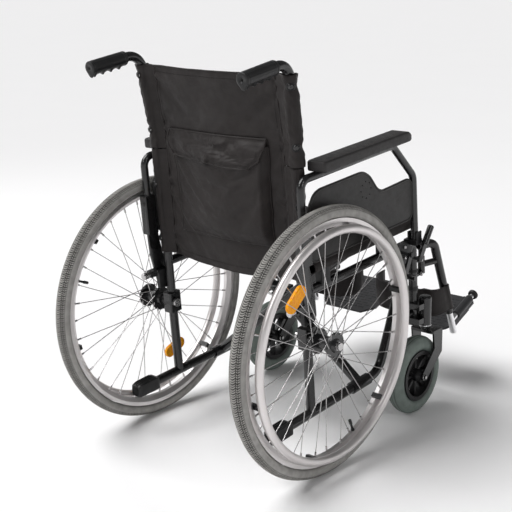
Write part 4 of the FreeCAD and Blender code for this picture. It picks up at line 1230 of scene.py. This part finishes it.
# ---- Footrests -----------------------------------------------------------------------
def foot_frame():
    """Origin and the along, inward and up directions of the left footplate's pivot."""
    joint = JOINTS["left_footplate_flip"]
    along = -Vector(joint["axis"])
    inward = Vector((-1, 0, 0))
    up = along.cross(inward)
    if up.z < 0:
        up = -up
    return Vector(joint["pos_m"]), along, inward, up


def foot_box():
    """Lowest and highest along, inward and up of the left footplate's plate."""
    origin, along, inward, up = foot_frame()
    places = []
    for vertex in NODES["left_footplate"].data.vertices:
        offset = vertex.co - origin
        places.append((offset.dot(along), offset.dot(inward), offset.dot(up)))
    lowest = min(p[2] for p in places)
    plate = [p for p in places if p[2] < lowest + 0.0062]
    return extent(plate)


RIB_ROWS = 12
RIB_COLUMNS = 6
RIB_HALF = 0.0016               # half a bar's width


def footplate_ribs(side):
    """Raised bars on the footplate's top, in rows that are set off from each other."""
    origin, along, inward, up = foot_frame()
    low, high = foot_box()

    def bar(a, i, height, half_a, half_i):
        """Four corners of a bar's section, round its middle at a and i."""
        return [origin + along * (a + x) + inward * (i + y) + up * (high[2] + height)
                for x, y in ((-half_a, -half_i), (half_a, -half_i), (half_a, half_i),
                             (-half_a, half_i))]

    parts = []
    step_a = (high[0] - low[0] - 0.028) / RIB_ROWS
    step_i = (high[1] - low[1] - 0.052) / RIB_COLUMNS
    for r in range(RIB_ROWS):
        for c in range(RIB_COLUMNS):
            a = low[0] + 0.014 + step_a * (r + 0.5)
            i = low[1] + 0.026 + step_i * (c + 0.5 + (0.25 if r % 2 else -0.25))
            half_i = step_i * 0.36
            base = bar(a, i, -0.0002, RIB_HALF * 1.6, half_i)
            top = bar(a, i, 0.0013, RIB_HALF * 0.7, half_i * 0.9)
            parts.append(loft([base, top]))
    obj = side_piece(side, "footplate_ribs", merged(parts), "footplate_plastic", "footplate")
    crisp(obj, 30)


HEEL_COLUMNS = 61
HEEL_ROWS = 15
HEEL_WRAP = 14                  # stations round the footrest tube
HEEL_THICK = 0.002
HEEL_HEM_R = 0.0017


def foot_tube_at(v):
    """x and u of the left footrest tube's middle at height v."""
    way = Vector(JOINTS["left_footrest_height"]["axis"])
    if way.z > 0:
        way = -way
    corners = [vertex.co for vertex in NODES["left_hanger"].data.vertices]
    reach = max(c.dot(way) for c in corners)
    end = [to_leaning(c) for c in corners if c.dot(way) > reach - 0.0005]
    low, high = extent(end)
    place = (low + high) / 2
    return place.x, place.y + way.dot(FORWARD) * (v - place.z) / way.dot(UP)


def heel_path(v, low, high):
    """The band's line at height v: round the footrest tube, behind the heel and inward."""
    x, u = foot_tube_at(v)
    r = TUBE_R + 0.0022
    path = []
    for k in range(HEEL_WRAP):
        angle = math.radians(mix(130, -35, k / (HEEL_WRAP - 1)))
        path.append((x + r * math.cos(angle), u + r * math.sin(angle)))
    start = path[-1]
    for k in range(1, HEEL_COLUMNS):
        s = 1.0 - 2.0 * k / (HEEL_COLUMNS - 1)
        across = math.copysign(abs(math.sin(s * math.pi / 2)) ** 0.75, s)
        end_u = start[1] if s > 0 else high.y
        path.append((mix(low.x, start[0], 0.5 + 0.5 * across),
                     mix(end_u, low.y + 0.002, math.cos(s * math.pi / 2) ** 0.62)))
    return path


def heel_loop(side):
    """A soft band from the footrest tube round behind the heel to the plate's inner end."""
    low, high = leaning_box("left_heel_loop")
    points = []
    for i in range(HEEL_ROWS):
        t = i / (HEEL_ROWS - 1)
        v = mix(low.z, high.z, t)
        for k, (x, u) in enumerate(heel_path(v, low, high)):
            loose = smooth(0, 12, k - HEEL_WRAP) * smooth(0, 12, HEEL_WRAP + HEEL_COLUMNS - k)
            fold = 0.0022 * noise.noise(Vector((x * 22, t * 1.5, 2.0))) * loose
            cup = 0.004 * math.sin(math.pi * t) * loose
            sag = 0.004 * loose * (1 - t)
            points.append(at(x, u + fold - cup, v - sag))
    columns = HEEL_WRAP + HEEL_COLUMNS - 1
    band = (points, grid_faces(HEEL_ROWS, columns))
    obj = side_piece(side, "heel_band", band, "nylon_black")
    corners = vertex_points(obj)
    upper = corners[(HEEL_ROWS - 1) * columns:]
    cords = [wire(path, HEEL_HEM_R, count=8) for path in (upper, corners[:columns])]
    hems = placed_piece(side, "heel_hems", merged(cords), "nylon_black")
    thicken(obj, HEEL_THICK)
    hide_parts(f"{side}_heel_loop")
    for part in (obj, hems):
        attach(part, f"{side}_footrest")
        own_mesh(part)


def foot_cap(side):
    """The black mushroom cap on the front end of the footplate's pivot rod."""
    origin, along, _, _ = foot_frame()
    tube = NODES["left_footrest_tube"].data
    reach = max((vertex.co - origin).dot(along) for vertex in tube.vertices)
    profile = [(-0.0105, ON_AXIS), (-0.0105, 0.0085), (-0.009, 0.0125), (-0.006, 0.0136),
               (-0.0015, 0.0134), (0.0006, 0.0115), (0.0012, 0.006), (0.0012, ON_AXIS)]
    made = revolve(profile, origin + along * reach, along, 32)
    side_piece(side, "foot_cap", made, "black_plastic", "footrest")


def hex_bolt(start, way, across_flats, head, washer):
    """A hexagon head on its washer."""
    way = way.normalized()
    across = way.orthogonal().normalized()
    other = way.cross(across)
    disc = revolve([(0, ON_AXIS), (0, washer), (0.0012, washer), (0.0012, ON_AXIS)], start, way, 24)
    r = across_flats / math.sqrt(3)
    rings = [ring_round(start + way * h, across, other, radius, 6)
             for h, radius in ((0.0012, r), (0.0012 + head * 0.8, r), (0.0012 + head, r * 0.82))]
    return merged([disc, loft(rings)])


HINGE_BOLTS_V = (0.0125, 0.0495)


def hinge_bolts(side):
    """Bright bolts through the lugs that carry the hanger."""
    pivot = to_leaning(Vector(JOINTS["left_hanger_swing"]["pos_m"]))
    parts = []
    for v in HINGE_BOLTS_V:
        for way in (1, -1):
            start = at(FRAME_X + 0.009 * way, pivot.y - 0.016, v)
            parts.append(hex_bolt(start, OUTWARD * way, 0.0075, 0.004, 0.005))
    obj = side_piece(side, "hinge_bolts", merged(parts), "fastener_steel", "frame")
    crisp(obj, 35)


COVER_LENGTH = 0.068
# The rubber cover's sections as (run, half width, above the rail, below it).
COVER_SECTIONS = ((0.0, 0.0115, 0.009, 0.013), (0.003, 0.0145, 0.0125, 0.0145),
                  (0.012, 0.0155, 0.0155, 0.0148), (0.052, 0.0155, 0.0165, 0.0148),
                  (0.0655, 0.0150, 0.0160, 0.0146), (COVER_LENGTH, 0.0135, 0.0142, 0.0136))
COVER_RIB = ((0.006, 0.0138), (0.014, 0.0165), (0.034, 0.0172), (0.058, 0.0172))


def tipping_cover(side):
    """A ribbed rubber block over the lower rail's rear end, for the helper's foot."""
    low, _ = leaning_box("left_frame_fittings")
    rail_v = leaning_box("left_side_frame")[0].z + TUBE_R
    rings = []
    for run, width, top, bottom in COVER_SECTIONS:
        middle = rail_v + (top - bottom) / 2
        ring = [at(FRAME_X + x, low.y + run, middle + h)
                for x, h in rounded_section(width, (top + bottom) / 2, 0.0026)]
        rings.append(ring)
    parts = [loft(rings)]
    for k in range(4):
        x = FRAME_X + mix(-0.0108, 0.0108, k / 3)
        path = [at(x, low.y + run, rail_v + height) for run, height in COVER_RIB]
        parts.append(wire(path, 0.0017, count=8))
    obj = side_piece(side, "tipping_cover", merged(parts), "grip_rubber", "frame")
    crisp(obj, 50)


# ---- The room ------------------------------------------------------------------------
CAMERA_TURNS = (221.82, 15.29, -1.02)         # azimuth, elevation and roll in degrees
CAMERA_PLACE = (-1.6198, 1.7323, 1.1027)      # its y is from the rear axle
CAMERA_LENS = 75.17


def camera():
    """Behind the chair's right rear corner, a little above the push grips."""
    turn, rise, roll = (math.radians(degrees) for degrees in CAMERA_TURNS)
    back = Vector((math.sin(turn) * math.cos(rise), -math.cos(turn) * math.cos(rise),
                   math.sin(rise)))
    level = Vector((0, 0, 1)).cross(back).normalized()
    upright = back.cross(level)
    right = level * math.cos(roll) + upright * math.sin(roll)
    up = upright * math.cos(roll) - level * math.sin(roll)
    data = bpy.data.cameras.new("camera")
    data.sensor_width = 36.0
    data.lens = CAMERA_LENS
    obj = bpy.data.objects.new("camera", data)
    SCENE.collection.objects.link(obj)
    pose = Matrix((right, up, back)).transposed().to_4x4()
    x, y, z = CAMERA_PLACE
    pose.translation = Vector((x, AXLE.y + y, z))
    obj.matrix_world = pose
    SCENE.camera = obj


def floor():
    """A plain pale floor out to the horizon."""
    mesh = bpy.data.meshes.new("floor")
    size = 60.0
    mesh.from_pydata([(-size, -size, 0), (size, -size, 0), (size, size, 0), (-size, size, 0)],
                     [], [(0, 1, 2, 3)])
    shader = Shader("floor", (0.95, 0.945, 0.95), 0.8, Specular_IOR_Level=0.1)
    shader.mottle(1.5, 0.3, (0.93, 0.925, 0.93))
    mesh.materials.append(shader.material)
    obj = bpy.data.objects.new("floor", mesh)
    obj.location.z = -0.0005
    SCENE.collection.objects.link(obj)


def softbox(name, place, target, size, power):
    data = bpy.data.lights.new(name, "AREA")
    data.shape = "RECTANGLE"
    data.size = size[0]
    data.size_y = size[1]
    data.energy = power
    obj = bpy.data.objects.new(name, data)
    obj.location = place
    obj.rotation_mode = "QUATERNION"
    obj.rotation_quaternion = (Vector(target) - Vector(place)).to_track_quat("-Z", "Y")
    SCENE.collection.objects.link(obj)


SKY_FALL = {"From Min": 0.03, "From Max": 0.3, "To Min": 1.0, "To Max": 0.15}
SUN_ENERGY = 2.8
SUN_ANGLE = 45
SUN_WAY = (0.42, 0.38, 0.9)


def sky():
    """White at the level of the floor and darker overhead, so that black paint stays black."""
    world = bpy.data.worlds.new("studio")
    world.use_nodes = True
    tree = world.node_tree
    place = tree.nodes.new("ShaderNodeTexCoord")
    split = tree.nodes.new("ShaderNodeSeparateXYZ")
    fall = tree.nodes.new("ShaderNodeMapRange")
    tree.links.new(place.outputs["Generated"], split.inputs[0])
    tree.links.new(split.outputs["Z"], fall.inputs["Value"])
    for key, value in SKY_FALL.items():
        fall.inputs[key].default_value = value
    background = tree.nodes["Background"]
    background.inputs["Color"].default_value = (1.0, 1.0, 1.0, 1.0)
    tree.links.new(fall.outputs["Result"], background.inputs["Strength"])
    SCENE.world = world


def sun():
    data = bpy.data.lights.new("sun", "SUN")
    data.energy = SUN_ENERGY
    data.angle = math.radians(SUN_ANGLE)
    obj = bpy.data.objects.new("sun", data)
    obj.rotation_mode = "QUATERNION"
    obj.rotation_quaternion = Vector(SUN_WAY).to_track_quat("Z", "Y")
    SCENE.collection.objects.link(obj)


def room():
    sky()
    sun()
    middle = (0.0, 0.0, 0.45)
    softbox("right_strip", (-3.0, 0.9, 2.2), middle, (0.3, 1.8), 16)
    softbox("rear_strip", (0.9, 3.2, 2.6), middle, (1.6, 0.3), 14)
    softbox("left_strip", (2.8, -0.2, 2.2), middle, (0.3, 1.8), 14)
    SCENE.view_settings.view_transform = "Standard"
    SCENE.view_settings.look = "None"
    SCENE.view_settings.exposure = 0.0


camera()
floor()
room()
finish_cad_nodes()
for side in SIGNS:
    for build in (rear_tyre, valve, castor_tyre, castor_caps, castor_ring, push_grip, armrest_pad,
                  side_panel, sleeve, cup_washers, footplate_ribs, heel_loop, hinge_bolts,
                  tipping_cover, foot_cap):
        build(side)
back_rest()
seat_sling()
